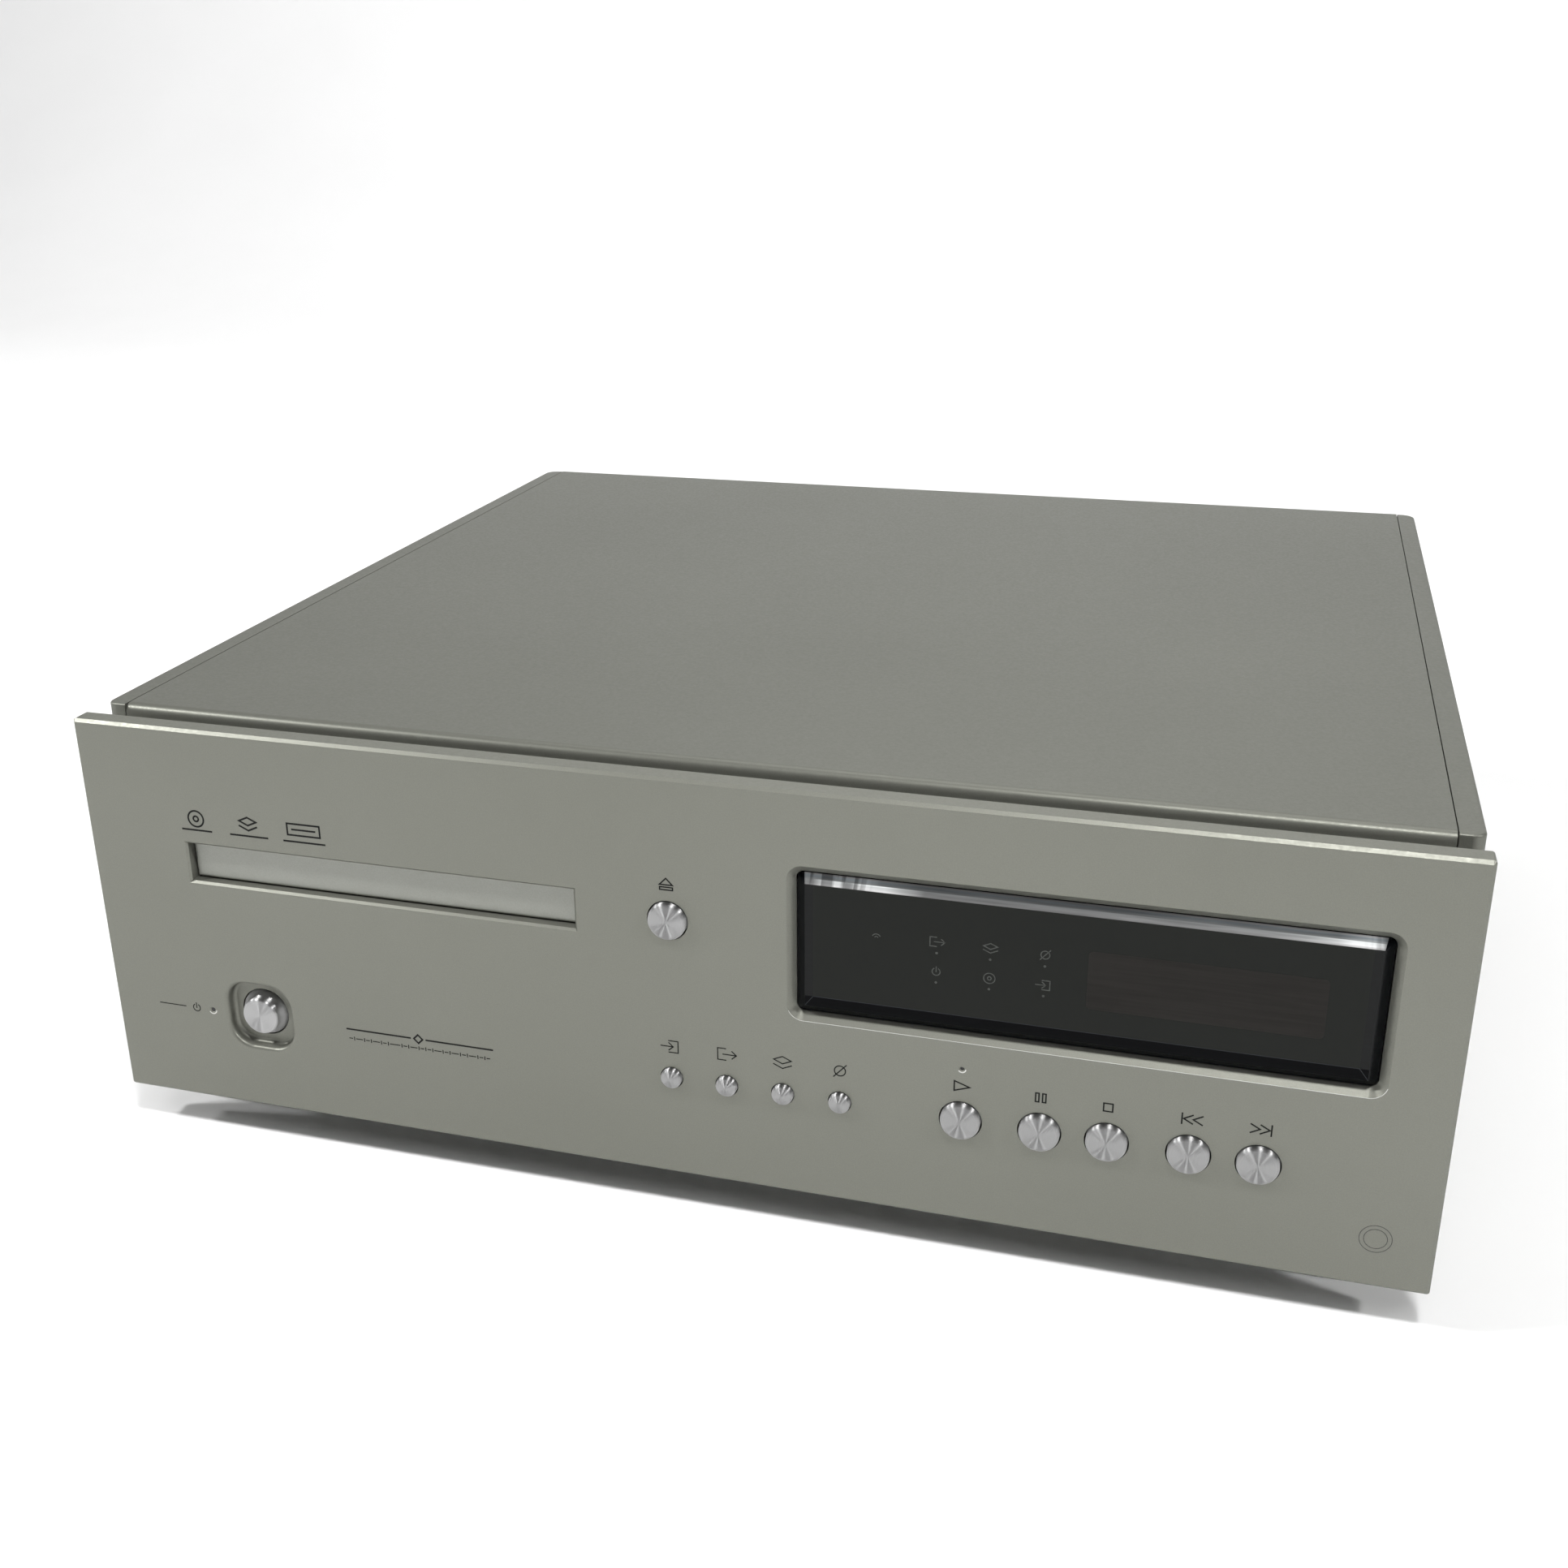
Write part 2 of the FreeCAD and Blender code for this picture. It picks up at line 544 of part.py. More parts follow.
def display():
    half_wide = "(display_wide / 2 - display_bevel - gap)"
    half_tall = "(display_tall / 2 - display_bevel - gap)"
    outline = body("display_window_outline")
    drawing = sketch(outline, "XZ_Plane")
    rectangle(drawing, f"-{half_wide}", half_wide, f"-{half_tall}", half_tall)
    pad(outline, drawing, "window_thick")
    dress("Fillet", outline, "display_corner - gap", lambda edge: along(edge, "y"))
    place(outline, DISPLAY_X, f"{FACE} + window_thick", DISPLAY_Z)
    slab = box(f"{DISPLAY_X} - {half_wide}", f"{DISPLAY_X} + {half_wide}", f"{FACE} + window_deep",
               f"{FACE} + window_thick", f"{DISPLAY_Z} - {half_tall}", f"{DISPLAY_Z} + {half_tall}")
    bevel = doc.addObject("Part::Wedge", "bevel")
    bind(bevel, "Ymin", FACE)
    bind(bevel, "Ymax", f"{FACE} + window_deep")
    for axis, middle, half in (("X", DISPLAY_X, half_wide), ("Z", DISPLAY_Z, half_tall)):
        bind(bevel, f"{axis}min", f"{middle} - {half} + window_edge")
        bind(bevel, f"{axis}max", f"{middle} + {half} - window_edge")
        bind(bevel, f"{axis}2min", f"{middle} - {half}")
        bind(bevel, f"{axis}2max", f"{middle} + {half}")
    window = doc.addObject("Part::Common", "window")
    window.Base, window.Tool = join(slab, bevel), outline
    node("display_window", window)

    back = f"({FACE} + window_thick + gap)"
    reach_x, reach_z = "(display_wide / 2 + 2)", "(display_tall / 2 + 2)"
    frame = box(f"{DISPLAY_X} - {reach_x}", f"{DISPLAY_X} + {reach_x}", f"{PANEL_BACK} + gap",
                f"{PANEL_BACK} + gap + holder_deep", f"{DISPLAY_Z} - {reach_z}", f"{DISPLAY_Z} + {reach_z}")
    hollow = box(f"{DISPLAY_X} - {reach_x} + holder_wall", f"{DISPLAY_X} + {reach_x} - holder_wall",
                 f"{PANEL_BACK}", f"{PANEL_BACK} + gap + holder_deep - 2",
                 f"{DISPLAY_Z} - {reach_z} + holder_wall", f"{DISPLAY_Z} + {reach_z} - holder_wall")
    node("display_holder", cut(frame, hollow))
    node("display_module", box(f"{DISPLAY_X} - 4", f"{DISPLAY_X} + 76", f"{back} + 1", f"{back} + 6",
                               f"{DISPLAY_Z} - 13", f"{DISPLAY_Z} + 15"))
    board_y = f"({PANEL_BACK} + gap + holder_deep + gap)"
    node("display_board", box(f"{DISPLAY_X} - {reach_x}", f"{DISPLAY_X} + {reach_x}", board_y,
                              f"{board_y} + board_thick", f"{DISPLAY_Z} - {reach_z}",
                              f"{DISPLAY_Z} + {reach_z}"))


# ---- buttons ----

def button(name, x, z, radius, proud, travel, crown="0.6"):
    """A turned cap with a flange behind the plate and a stem that reaches a switch."""
    back = "(panel_thick + gap)"
    stem_end = f"({SWITCH_Y} - gap - {FACE} - {travel})"
    profile = [("0", f"-{proud}"), (f"{radius} - {crown}", f"-{proud}"), (radius, f"{crown} - {proud}"),
               (radius, back), (f"{radius} + button_flange", back),
               (f"{radius} + button_flange", f"{back} + flange_thick"), ("2", f"{back} + flange_thick"),
               ("2", stem_end), ("0", stem_end)]
    node(name, turned(name, profile, x, FACE, z))


def buttons():
    row = "(foot_height + row_height)"
    button("eject_button", EJECT_X, "(foot_height + eject_height)", "large_radius", "large_proud",
           "large_travel")
    for name, x in LARGE_BUTTONS.items():
        button(name, x, row, "large_radius", "large_proud", "large_travel")
    for step, name in enumerate(SMALL_BUTTONS):
        button(name, f"({SMALL_X} + {step} * small_pitch)", row, "small_radius", "button_proud",
               "small_travel")
    back = "(panel_thick + gap)"
    stem_end = f"({SWITCH_Y} - gap - {FACE} - power_travel)"
    profile = [("0", "0"), ("power_face - 0.8", "0"), ("power_face", "0.8"), ("power_face", "1.6"),
               ("power_radius", "dish_deep"), ("power_radius", back), ("power_radius + button_flange", back),
               ("power_radius + button_flange", f"{back} + flange_thick"), ("2", f"{back} + flange_thick"),
               ("2", stem_end), ("0", stem_end)]
    power = turned("power_button", profile, POWER_X, FACE, "(foot_height + power_height)")
    node("power_button", power)


def button_boards():
    row = "(foot_height + row_height)"
    node("button_board", box("40 - width / 2", "width / 2 - 40", BOARD_Y, f"{BOARD_Y} + board_thick",
                             f"{row} - 14", f"{row} + 10"))
    high = "(foot_height + eject_height)"
    node("eject_board", box(f"{EJECT_X} - 12", f"{EJECT_X} + 12", BOARD_Y, f"{BOARD_Y} + board_thick",
                            f"{high} - 10", f"{high} + 10"))
    power = "(foot_height + power_height)"
    places = [(EJECT_X, high), (POWER_X, power)]
    places += [(x, row) for x in LARGE_BUTTONS.values()]
    places += [(f"({SMALL_X} + {step} * small_pitch)", row) for step in range(len(SMALL_BUTTONS))]
    switches = []
    for x, z in places:
        switches.append(centred(x, "6", f"({BOARD_Y} - switch_tall / 2)", "switch_tall", f"({z} - 3)", "6"))
    node("tact_switches", group(*switches))
    pipes = []
    for x, z, radius in (("(light_left - width / 2)", power, "light_radius"),
                         (PLAY_X, "(foot_height + play_light_height)", "play_light_radius")):
        tip = rod("y", x, f"{FACE} + 0.4", z, f"{radius} - 0.35", "panel_thick - 0.4 + gap")
        pipes.append(join(tip, rod("y", x, f"{PANEL_BACK} + gap", z, "2", f"{BOARD_Y} - 4 - {PANEL_BACK}")))
    node("light_pipes", group(*pipes))


# ---- disc tray ----

def rack_teeth(low_z, tall):
    """A straight row of teeth that points to -x, with a gap opposite the gear's middle."""
    module, half_play = SIZES["gear_module"], SIZES["backlash"] / 2
    pitch = math.pi * module
    line, gear_y = where(RACK_X), where(GEAR_Y)
    lean = math.tan(math.radians(20))
    dip, rise = 1.25 * module, 0.95 * module
    back = line + dip + 2
    first = math.ceil((where(TRAY_FRONT) + 12 - gear_y) / pitch)
    last = math.floor((where(TRAY_BACK) - gear_y) / pitch)
    start, end = gear_y + first * pitch, gear_y + last * pitch
    outline = [(back, start), (line + dip, start)]
    for step in range(first, last):
        middle = gear_y + (step + 0.5) * pitch
        half_root = pitch / 4 - half_play + dip * lean
        half_tip = pitch / 4 - half_play - rise * lean
        outline += [(line + dip, middle - half_root), (line - rise, middle - half_tip),
                    (line - rise, middle + half_tip), (line + dip, middle + half_root)]
    outline += [(line + dip, end), (back, end)]
    points = [Vector(x, y, low_z) for x, y in outline]
    return Part.Face(Part.makePolygon(points + points[:1])).extrude(Vector(0, 0, tall))


def where(text):
    """The present value of an expression of named sizes, read through a cell-bound property."""
    probe = doc.getObject("Probe") or doc.addObject("App::FeaturePython", "Probe")
    if not hasattr(probe, "Value"):
        probe.addProperty("App::PropertyFloat", "Value")
    bind(probe, "Value", text)
    probe.recompute()
    return probe.Value


def tray():
    plate = box(f"{MECH_X} - {TRAY_HALF}", f"{MECH_X} + {TRAY_HALF}", TRAY_FRONT, TRAY_BACK,
                TRAY_LOW, TRAY_TOP)
    rails = box(f"{MECH_X} - {TRAY_HALF} - rail_wide", f"{MECH_X} + {TRAY_HALF} + rail_wide",
                f"{TRAY_FRONT} + 12", TRAY_BACK, RAIL_LOW, f"{RAIL_LOW} + rail_thick")
    well = rod("z", MECH_X, SPINDLE_Y, f"{TRAY_TOP} - well_deep", "disc_radius + well_gap", "well_deep + 1")
    small = rod("z", MECH_X, SPINDLE_Y, f"{TRAY_TOP} - well_deep - small_well_deep", "small_well_radius",
                "well_deep")
    round_end = rod("z", MECH_X, SPINDLE_Y, f"{TRAY_LOW} - 1", "window_wide / 2", "tray_thick + 2")
    window = box(f"{MECH_X} - window_wide / 2", f"{MECH_X} + window_wide / 2", SPINDLE_Y,
                 f"{TRAY_BACK} + 1", f"{TRAY_LOW} - 1", f"{TRAY_TOP} + 1")
    rack = doc.addObject("Part::Feature", "rack")
    rack.Shape = rack_teeth(where(GEAR_LOW), SIZES["gear_thick"])
    node("tray", cut(join(plate, rails, rack), well, small, round_end, window))

    fascia = body("tray_fascia")
    drawing = sketch(fascia, "XZ_Plane")
    rectangle(drawing, f"tray_gap - {SLOT_WIDE} / 2", f"{SLOT_WIDE} / 2 - tray_gap",
              "slot_low + tray_gap", "slot_low + slot_tall - tray_gap")
    pad(fascia, drawing, "fascia_thick")
    front = -SIZES["fascia_thick"]
    dress("Fillet", fascia, "fascia_edge", lambda edge: near(edge.YMin, front) and near(edge.YMax, front))
    place(fascia, MECH_X, TRAY_FRONT, "foot_height")
    node("tray_fascia", fascia)


# ---- loader ----

def loader_base():
    """The deck under the tray: floor, grooved walls, legs and the posts that the moving plates run on."""
    front = f"({COVER_FRONT} + gap)"
    left, right = f"({MECH_X} - {LOADER_HALF})", f"({MECH_X} + {LOADER_HALF})"
    deck = f"({LOADER_LOW} + loader_floor)"
    block = box(left, right, front, LOADER_BACK, LOADER_LOW, f"{TRAY_TOP} + 1")
    inside, rails = f"({TRAY_HALF} + gap)", f"({TRAY_HALF} + rail_wide + gap)"
    hollow = box(f"{MECH_X} - {inside}", f"{MECH_X} + {inside}", f"{front} - 1",
                 f"{LOADER_BACK} + 1", deck, f"{TRAY_TOP} + 2")
    groove = box(f"{MECH_X} - {rails}", f"{MECH_X} + {rails}", f"{front} - 1", f"{LOADER_BACK} + 1",
                 f"{RAIL_LOW} - gap", f"{RAIL_LOW} + rail_thick + gap")
    rack_way = box(f"{MECH_X} - {rails}", MECH_X, f"{front} - 1", f"{LOADER_BACK} + 1",
                   RAIL_LOW, f"{GEAR_LOW} + gear_thick + 2 * gap")
    gear_way = box(f"{left} - 1", MECH_X, f"{GEAR_Y} - pulley_radius - 1", f"{MOTOR_Y} - 4",
                   deck, f"{TRAY_TOP} + 2")
    ear = box(f"{left} - ear_wide", left, f"{GEAR_Y} - 12", f"{MOTOR_Y} + 12", LOADER_LOW, deck)
    posts = [rod("z", GEAR_X, GEAR_Y, LOADER_LOW, "post_radius", f"{GEAR_LOW} + gear_thick - {LOADER_LOW}")]
    for x, y in lift_posts():
        posts.append(rod("z", x, y, LOADER_LOW, "post_radius - 0.5", f"{PLATE_LOW} + lift + 8 - {LOADER_LOW}"))
    legs = [rod("z", f"({MECH_X} + {side} * ({LOADER_HALF} - 8))", y, FLOOR, "6", f"{LOADER_LOW} - {FLOOR}")
            for side in (-1, 1) for y in (f"({front} + 12)", f"({LOADER_BACK} - 12)")]
    node("loader_base", join(cut(block, hollow, groove, rack_way, gear_way), ear, *posts, *legs))


def lift_posts():
    return [(f"({MECH_X} + {side} * post_spread)", f"({SPINDLE_Y} + {dy})") for side in (-1, 1)
            for dy in (-18, 88)]


def clamp():
    low = f"({TRAY_TOP} + 1)"
    bridge = box(f"{MECH_X} - {LOADER_HALF}", f"{MECH_X} + {LOADER_HALF}", f"{SPINDLE_Y} - 22", f"{SPINDLE_Y} + 22",
                 low, f"{low} + 2.4 + bridge_thick")
    under = box(f"{MECH_X} - {TRAY_HALF} - gap", f"{MECH_X} + {TRAY_HALF} + gap", f"{SPINDLE_Y} - 23",
                f"{SPINDLE_Y} + 23", f"{low} - 1", f"{low} + 2.4")
    hole = rod("z", MECH_X, SPINDLE_Y, low, "clamp_radius + 0.8", "9")
    node("clamp_bridge", cut(bridge, under, hole))
    top = "(2.4 + bridge_thick)"
    profile = [("0", "3"), ("8.2", "3"), ("8.2", "0"), ("clamp_radius", "0"), ("clamp_radius", f"{top} + fit"),
               ("clamp_flange", f"{top} + fit"), ("clamp_flange", f"{top} + 1.6"), ("0", f"{top} + 1.6")]
    node("disc_clamp", turned("disc_clamp", profile, MECH_X, SPINDLE_Y, low, axis="z"))


def gear_outline():
    """A spur gear's outline: each flank is an arc through three points of its involute."""
    module, teeth = SIZES["gear_module"], SIZES["gear_teeth"]
    pitch_radius = module * teeth / 2
    base_radius = pitch_radius * math.cos(math.radians(20))
    root_radius, tip_radius = pitch_radius - 1.25 * module, pitch_radius + module * 0.95

    def spread(radius):
        turn = math.acos(min(1, base_radius / radius))
        return math.tan(turn) - turn

    half_pitch = math.pi / (2 * teeth) - SIZES["backlash"] / (2 * pitch_radius)

    def flank(radius, middle, side):
        angle = middle + side * (half_pitch + spread(pitch_radius) - spread(max(radius, base_radius)))
        return Vector(radius * math.cos(angle), radius * math.sin(angle), 0)

    edges = []
    start = max(root_radius, base_radius)
    for tooth in range(teeth):
        middle = 2 * math.pi * tooth / teeth
        after = middle + 2 * math.pi / teeth
        mid_radius = (start + tip_radius) / 2
        foot, tip = flank(start, middle, -1), flank(tip_radius, middle, -1)
        far_tip, far_foot = flank(tip_radius, middle, 1), flank(start, middle, 1)
        next_foot = flank(start, after, -1)
        dip_low, dip_high = far_foot * (root_radius / start), next_foot * (root_radius / start)
        crown = Vector(tip_radius * math.cos(middle), tip_radius * math.sin(middle), 0)
        edges.append(Part.Arc(foot, flank(mid_radius, middle, -1), tip).toShape())
        edges.append(Part.Arc(tip, crown, far_tip).toShape())
        edges.append(Part.Arc(far_tip, flank(mid_radius, middle, 1), far_foot).toShape())
        edges.append(Part.makeLine(far_foot, dip_low))
        edges.append(Part.makeLine(dip_low, dip_high))
        edges.append(Part.makeLine(dip_high, next_foot))
    return Part.Wire(Part.__sortEdges__(edges))


def grooved_pulley(x, y, radius, thick):
    """A pulley with a square groove round its middle."""
    disc = rod("z", x, y, PULLEY_LOW, radius, thick)
    ring = cut(rod("z", x, y, f"{PULLEY_LOW} + {thick} / 2 - 0.9", f"{radius} + 1", "1.8"),
               rod("z", x, y, f"{PULLEY_LOW} + {thick} / 2 - 1.9", f"{radius} - 1", "3.8"))
    return cut(disc, ring)


def hull_prism(first, first_radius, second, second_radius, tall):
    """The band round two circles of different size, as a solid."""
    way = second - first
    heading = math.atan2(way.y, way.x)
    open_angle = math.acos((first_radius - second_radius) / way.Length)

    def point(centre, radius, angle):
        return centre + Vector(radius * math.cos(angle), radius * math.sin(angle), 0)

    up, down = heading + open_angle, heading - open_angle
    edges = [Part.Arc(point(first, first_radius, up), point(first, first_radius, heading + math.pi),
                      point(first, first_radius, down)).toShape(),
             Part.makeLine(point(first, first_radius, down), point(second, second_radius, down)),
             Part.Arc(point(second, second_radius, down), point(second, second_radius, heading),
                      point(second, second_radius, up)).toShape(),
             Part.makeLine(point(second, second_radius, up), point(first, first_radius, up))]
    return Part.Face(Part.Wire(edges)).extrude(Vector(0, 0, tall))


def loading_drive():
    teeth = doc.addObject("Part::Feature", "teeth")
    teeth.Shape = Part.Face(gear_outline()).extrude(Vector(0, 0, SIZES["gear_thick"]))
    place(teeth, GEAR_X, GEAR_Y, GEAR_LOW)
    hub = rod("z", GEAR_X, GEAR_Y, PULLEY_LOW, "5", f"{GEAR_LOW} - {PULLEY_LOW}")
    pulley = grooved_pulley(GEAR_X, GEAR_Y, "pulley_radius", "4")
    bore = rod("z", GEAR_X, GEAR_Y, f"{PULLEY_LOW} - 1", "post_radius + fit", "60")
    node("loading_gear", cut(join(teeth, hub, pulley), bore))
    small = grooved_pulley(MOTOR_X, MOTOR_Y, "motor_pulley_radius", "4")
    shaft_hole = rod("z", MOTOR_X, MOTOR_Y, f"{PULLEY_LOW} - 1", "1 + fit", "9")
    node("motor_pulley", cut(small, shaft_hole))
    case_low = f"({LOADER_LOW} + loader_floor)"
    motor = join(rod("z", MOTOR_X, MOTOR_Y, case_low, "9", f"{PULLEY_LOW} - 1 - {case_low}"),
                 rod("z", MOTOR_X, MOTOR_Y, case_low, "1", f"{PULLEY_LOW} + 4 - {case_low}"))
    node("loading_motor", motor)
    thick, slack = SIZES["belt_thick"], 0.15
    low = where(PULLEY_LOW) + 2 - thick / 2
    first, second = Vector(where(GEAR_X), where(GEAR_Y), low), Vector(where(MOTOR_X), where(MOTOR_Y), low)
    radii = SIZES["pulley_radius"] - 1 + slack, SIZES["motor_pulley_radius"] - 1 + slack
    outside = hull_prism(first, radii[0] + thick, second, radii[1] + thick, thick)
    belt = doc.addObject("Part::Feature", "belt")
    belt.Shape = outside.cut(hull_prism(first, radii[0], second, radii[1], thick))
    node("loading_belt", belt)


# ---- pickup ----

def pickup():
    reach = "(post_spread + 4)"
    plate = box(f"{MECH_X} - {reach}", f"{MECH_X} + {reach}", f"{SPINDLE_Y} - 25", f"{SPINDLE_Y} + 103",
                PLATE_LOW, f"{PLATE_LOW} + 2.5")
    guides = [rod("z", x, y, f"{PLATE_LOW} - 1", "post_radius - 0.5 + fit", "5") for x, y in lift_posts()]
    lugs = []
    for y in (f"({SPINDLE_Y} - 4)", f"({SPINDLE_Y} + 92)"):
        for side in (-1, 1):
            lugs.append(centred(f"({MECH_X} + {side} * rod_spread)", "7", y, "5", f"({PLATE_LOW} + 2.5)", "9"))
    screw_lug = centred(f"({MECH_X} + screw_offset)", "7", f"({SPINDLE_Y} + 4)", "4", f"({PLATE_LOW} + 2.5)", "9")
    rod_holes = [rod("y", f"({MECH_X} + {side} * rod_spread)", f"{SPINDLE_Y} - 7", ROD_Z, "rod_radius", "110")
                 for side in (-1, 1)]
    screw_hole = rod("y", f"({MECH_X} + screw_offset)", f"{SPINDLE_Y}", ROD_Z, "1.5 + fit", "10")
    seat = rod("z", MECH_X, SPINDLE_Y, f"{PLATE_LOW} - 1", "shaft_radius + 1", "6")
    node("traverse_base", cut(join(plate, *lugs, screw_lug), *guides, *rod_holes, screw_hole, seat))
    node("guide_rods", group(*[rod("y", f"({MECH_X} + {side} * rod_spread)", f"{SPINDLE_Y} - 6.5", ROD_Z,
                                   "rod_radius", "101") for side in (-1, 1)]))
    top = f"({TRAY_LOW} - 3)"
    low = f"({PLATE_LOW} + 2.5)"
    spindle = rod("z", MECH_X, SPINDLE_Y, low, "motor_radius", f"{top} - 1 - {low}")
    node("spindle_motor", cut(spindle, rod("z", MECH_X, SPINDLE_Y, f"{low} + 2", "shaft_radius + fit", "30")))
    seat_z = "(4.5)"
    shaft_end = f"({low} + 3 - {top})"
    profile = [("0", shaft_end), ("shaft_radius", shaft_end), ("shaft_radius", "0"), ("hub_radius", "0"),
               ("hub_radius", seat_z), ("cone_radius", seat_z), ("cone_radius - 1.3", f"{seat_z} + 2.5"),
               ("0", f"{seat_z} + 2.5")]
    node("turntable", turned("turntable", profile, MECH_X, SPINDLE_Y, top, axis="z"))
    sled()


def sled():
    lens_y = f"({SPINDLE_Y} + 24)"
    low = f"({PLATE_LOW} + 4)"
    base = box(f"{MECH_X} - rod_spread - 6", f"{MECH_X} + screw_offset + 5", f"{lens_y} - 7", f"{lens_y} + 25",
               low, f"{low} + 8.5")
    tower = centred(MECH_X, "32", f"({lens_y} + 6)", "26", f"({low} + 8.5)", "3.5")
    pit = centred(MECH_X, "17", lens_y, "11.5", f"({low} + 3)", "12")
    bores = [rod("y", f"({MECH_X} + {side} * rod_spread)", f"{lens_y} - 9", ROD_Z, "rod_radius + fit", "40")
             for side in (-1, 1)]
    bores.append(rod("y", f"({MECH_X} + screw_offset)", f"{lens_y} - 9", ROD_Z, "rod_radius + fit", "40"))
    node("pickup_sled", cut(join(base, tower), pit, *bores))
    holder = centred(MECH_X, "15", lens_y, "9.5", f"({low} + 5)", "6.5")
    lens = rod("z", MECH_X, lens_y, f"{low} + 11.5", "2.4", "0.9")
    node("lens_holder", join(holder, lens))
    screw_y = f"({SPINDLE_Y} + 2.5)"
    screw = join(rod("y", f"({MECH_X} + screw_offset)", screw_y, ROD_Z, "1.5", "85.5"),
                 rod("y", f"({MECH_X} + screw_offset)", f"({SPINDLE_Y} + 6.5)", ROD_Z, "rod_radius", "78"))
    node("lead_screw", screw)
    motor = rod("y", f"({MECH_X} + screw_offset)", f"{SPINDLE_Y} + 86", ROD_Z, "5.5", "14")
    foot = centred(f"({MECH_X} + screw_offset)", "8", f"({SPINDLE_Y} + 93)", "6", f"({PLATE_LOW} + 2.5)", "4")
    hole = rod("y", f"({MECH_X} + screw_offset)", f"{SPINDLE_Y} + 85", ROD_Z, "1.5 + fit", "3.3")
    node("sled_motor", cut(join(motor, foot), hole))


# ---- electronics ----

def board(name, x0, x1, y0, y1, chips):
    """A circuit board on four pillars with its parts on top. A chip is (x, y, wide, deep, tall)."""
    low = f"({FLOOR} + board_high)"
    top = f"({low} + board_thick)"
    pieces = [box(x0, x1, y0, y1, low, top)]
    for x in (f"({x0} + 6)", f"({x1} - 6)"):
        for y in (f"({y0} + 6)", f"({y1} - 6)"):
            pieces.append(rod("z", x, y, FLOOR, "post_size", "board_high"))
    for x, y, wide, deep, tall in chips:
        pieces.append(centred(f"({x0} + {x})", wide, f"({y0} + {y})", deep, top, tall))
    node(name, group(*pieces))


def electronics():
    x, y = "(width / 2 - transformer_right)", f"({COVER_FRONT} + transformer_radius + 26)"
    profile = [("10", "0"), ("transformer_radius - 6", "0"), ("transformer_radius", "6"),
               ("transformer_radius", "transformer_tall - 6"), ("transformer_radius - 6", "transformer_tall"),
               ("10", "transformer_tall")]
    node("transformer", turned("transformer", profile, x, y, f"{FLOOR} + transformer_pad", axis="z"))
    top = "(transformer_tall + transformer_pad + gap)"
    cap = [("0", "0"), ("9", "0"), ("9", "transformer_pad - gap"), ("4", "transformer_pad - gap"), ("4", top),
           ("30", top), ("30", f"{top} + 2"), ("7", f"{top} + 4"), ("0", f"{top} + 4")]
    node("transformer_clamp", turned("transformer_clamp", cap, x, y, FLOOR, axis="z"))
    supply_front = f"({y} + transformer_radius + 10)"
    supply_back = f"({REAR_INSIDE} - 44)"
    right = f"({INSIDE_X} - 14)"
    middle = f"({right} - 150)"
    board("power_board", middle, right, supply_front, supply_back,
          [("130", "80", "18", "30", "22"), ("30", "80", "24", "10", "30"), ("75", "80", "30", "8", "26")])
    low = f"({FLOOR} + board_high + board_thick)"
    cans = [rod("z", f"({middle} + 22 + {step} * can_pitch)", f"({supply_front} + {16 + 26 * line})", low,
                "can_radius", "can_tall") for step in range(4) for line in range(2)]
    node("filter_capacitors", group(*cans))
    board("digital_board", f"({MECH_X} + {LOADER_HALF} + 8.3)", f"({middle} - 8)", f"({COVER_FRONT} + 30)",
          f"({REAR_INSIDE} - 24)", [("24", "40", "16", "16", "2"), ("30", "90", "24", "24", "2.6"),
                                    ("22", "140", "14", "20", "2")])
    left = f"(14 - {INSIDE_X})"
    board("dac_board", left, f"({MECH_X} + {LOADER_HALF} + 2.3)", f"({LOADER_BACK} + 14)", f"({REAR_INSIDE} - 24)",
          [("30", "40", "12", "12", "2"), ("60", "40", "12", "12", "2"), ("45", "80", "20", "14", "9"),
           ("95", "60", "16", "22", "12"), ("120", "60", "16", "22", "12")])


def build():
    front_panel()
    inner_front()
    side_panel("left_side_panel", -1)
    side_panel("right_side_panel", 1)
    top_plate()
    base_plate()
    feet()
    rear_panel()
    rear_sockets()
    display()
    buttons()
    button_boards()
    tray()
    loader_base()
    clamp()
    loading_drive()
    pickup()
    electronics()


def check():
    """Stop if any object failed or any piece is not a sound solid."""
    for thing in doc.Objects:
        if {"Invalid", "Error"} & set(thing.State):
            raise RuntimeError(f"{thing.Label} failed: {thing.State}")
    for name, thing in nodes.items():
        if thing.Shape.isNull() or not thing.Shape.isValid() or not thing.Shape.Solids:
            raise RuntimeError(f"{name} is not a valid solid")


build()
doc.recompute()
check()
os.makedirs("parts", exist_ok=True)
for name, thing in nodes.items():
    thing.Shape.exportStep(f"parts/{name}.step")
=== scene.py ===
"""Looks for a full-width disc player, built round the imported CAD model. Metres, +Z up, front facing -Y."""
import json
import math

import bmesh
import bpy
from mathutils import Matrix, Vector


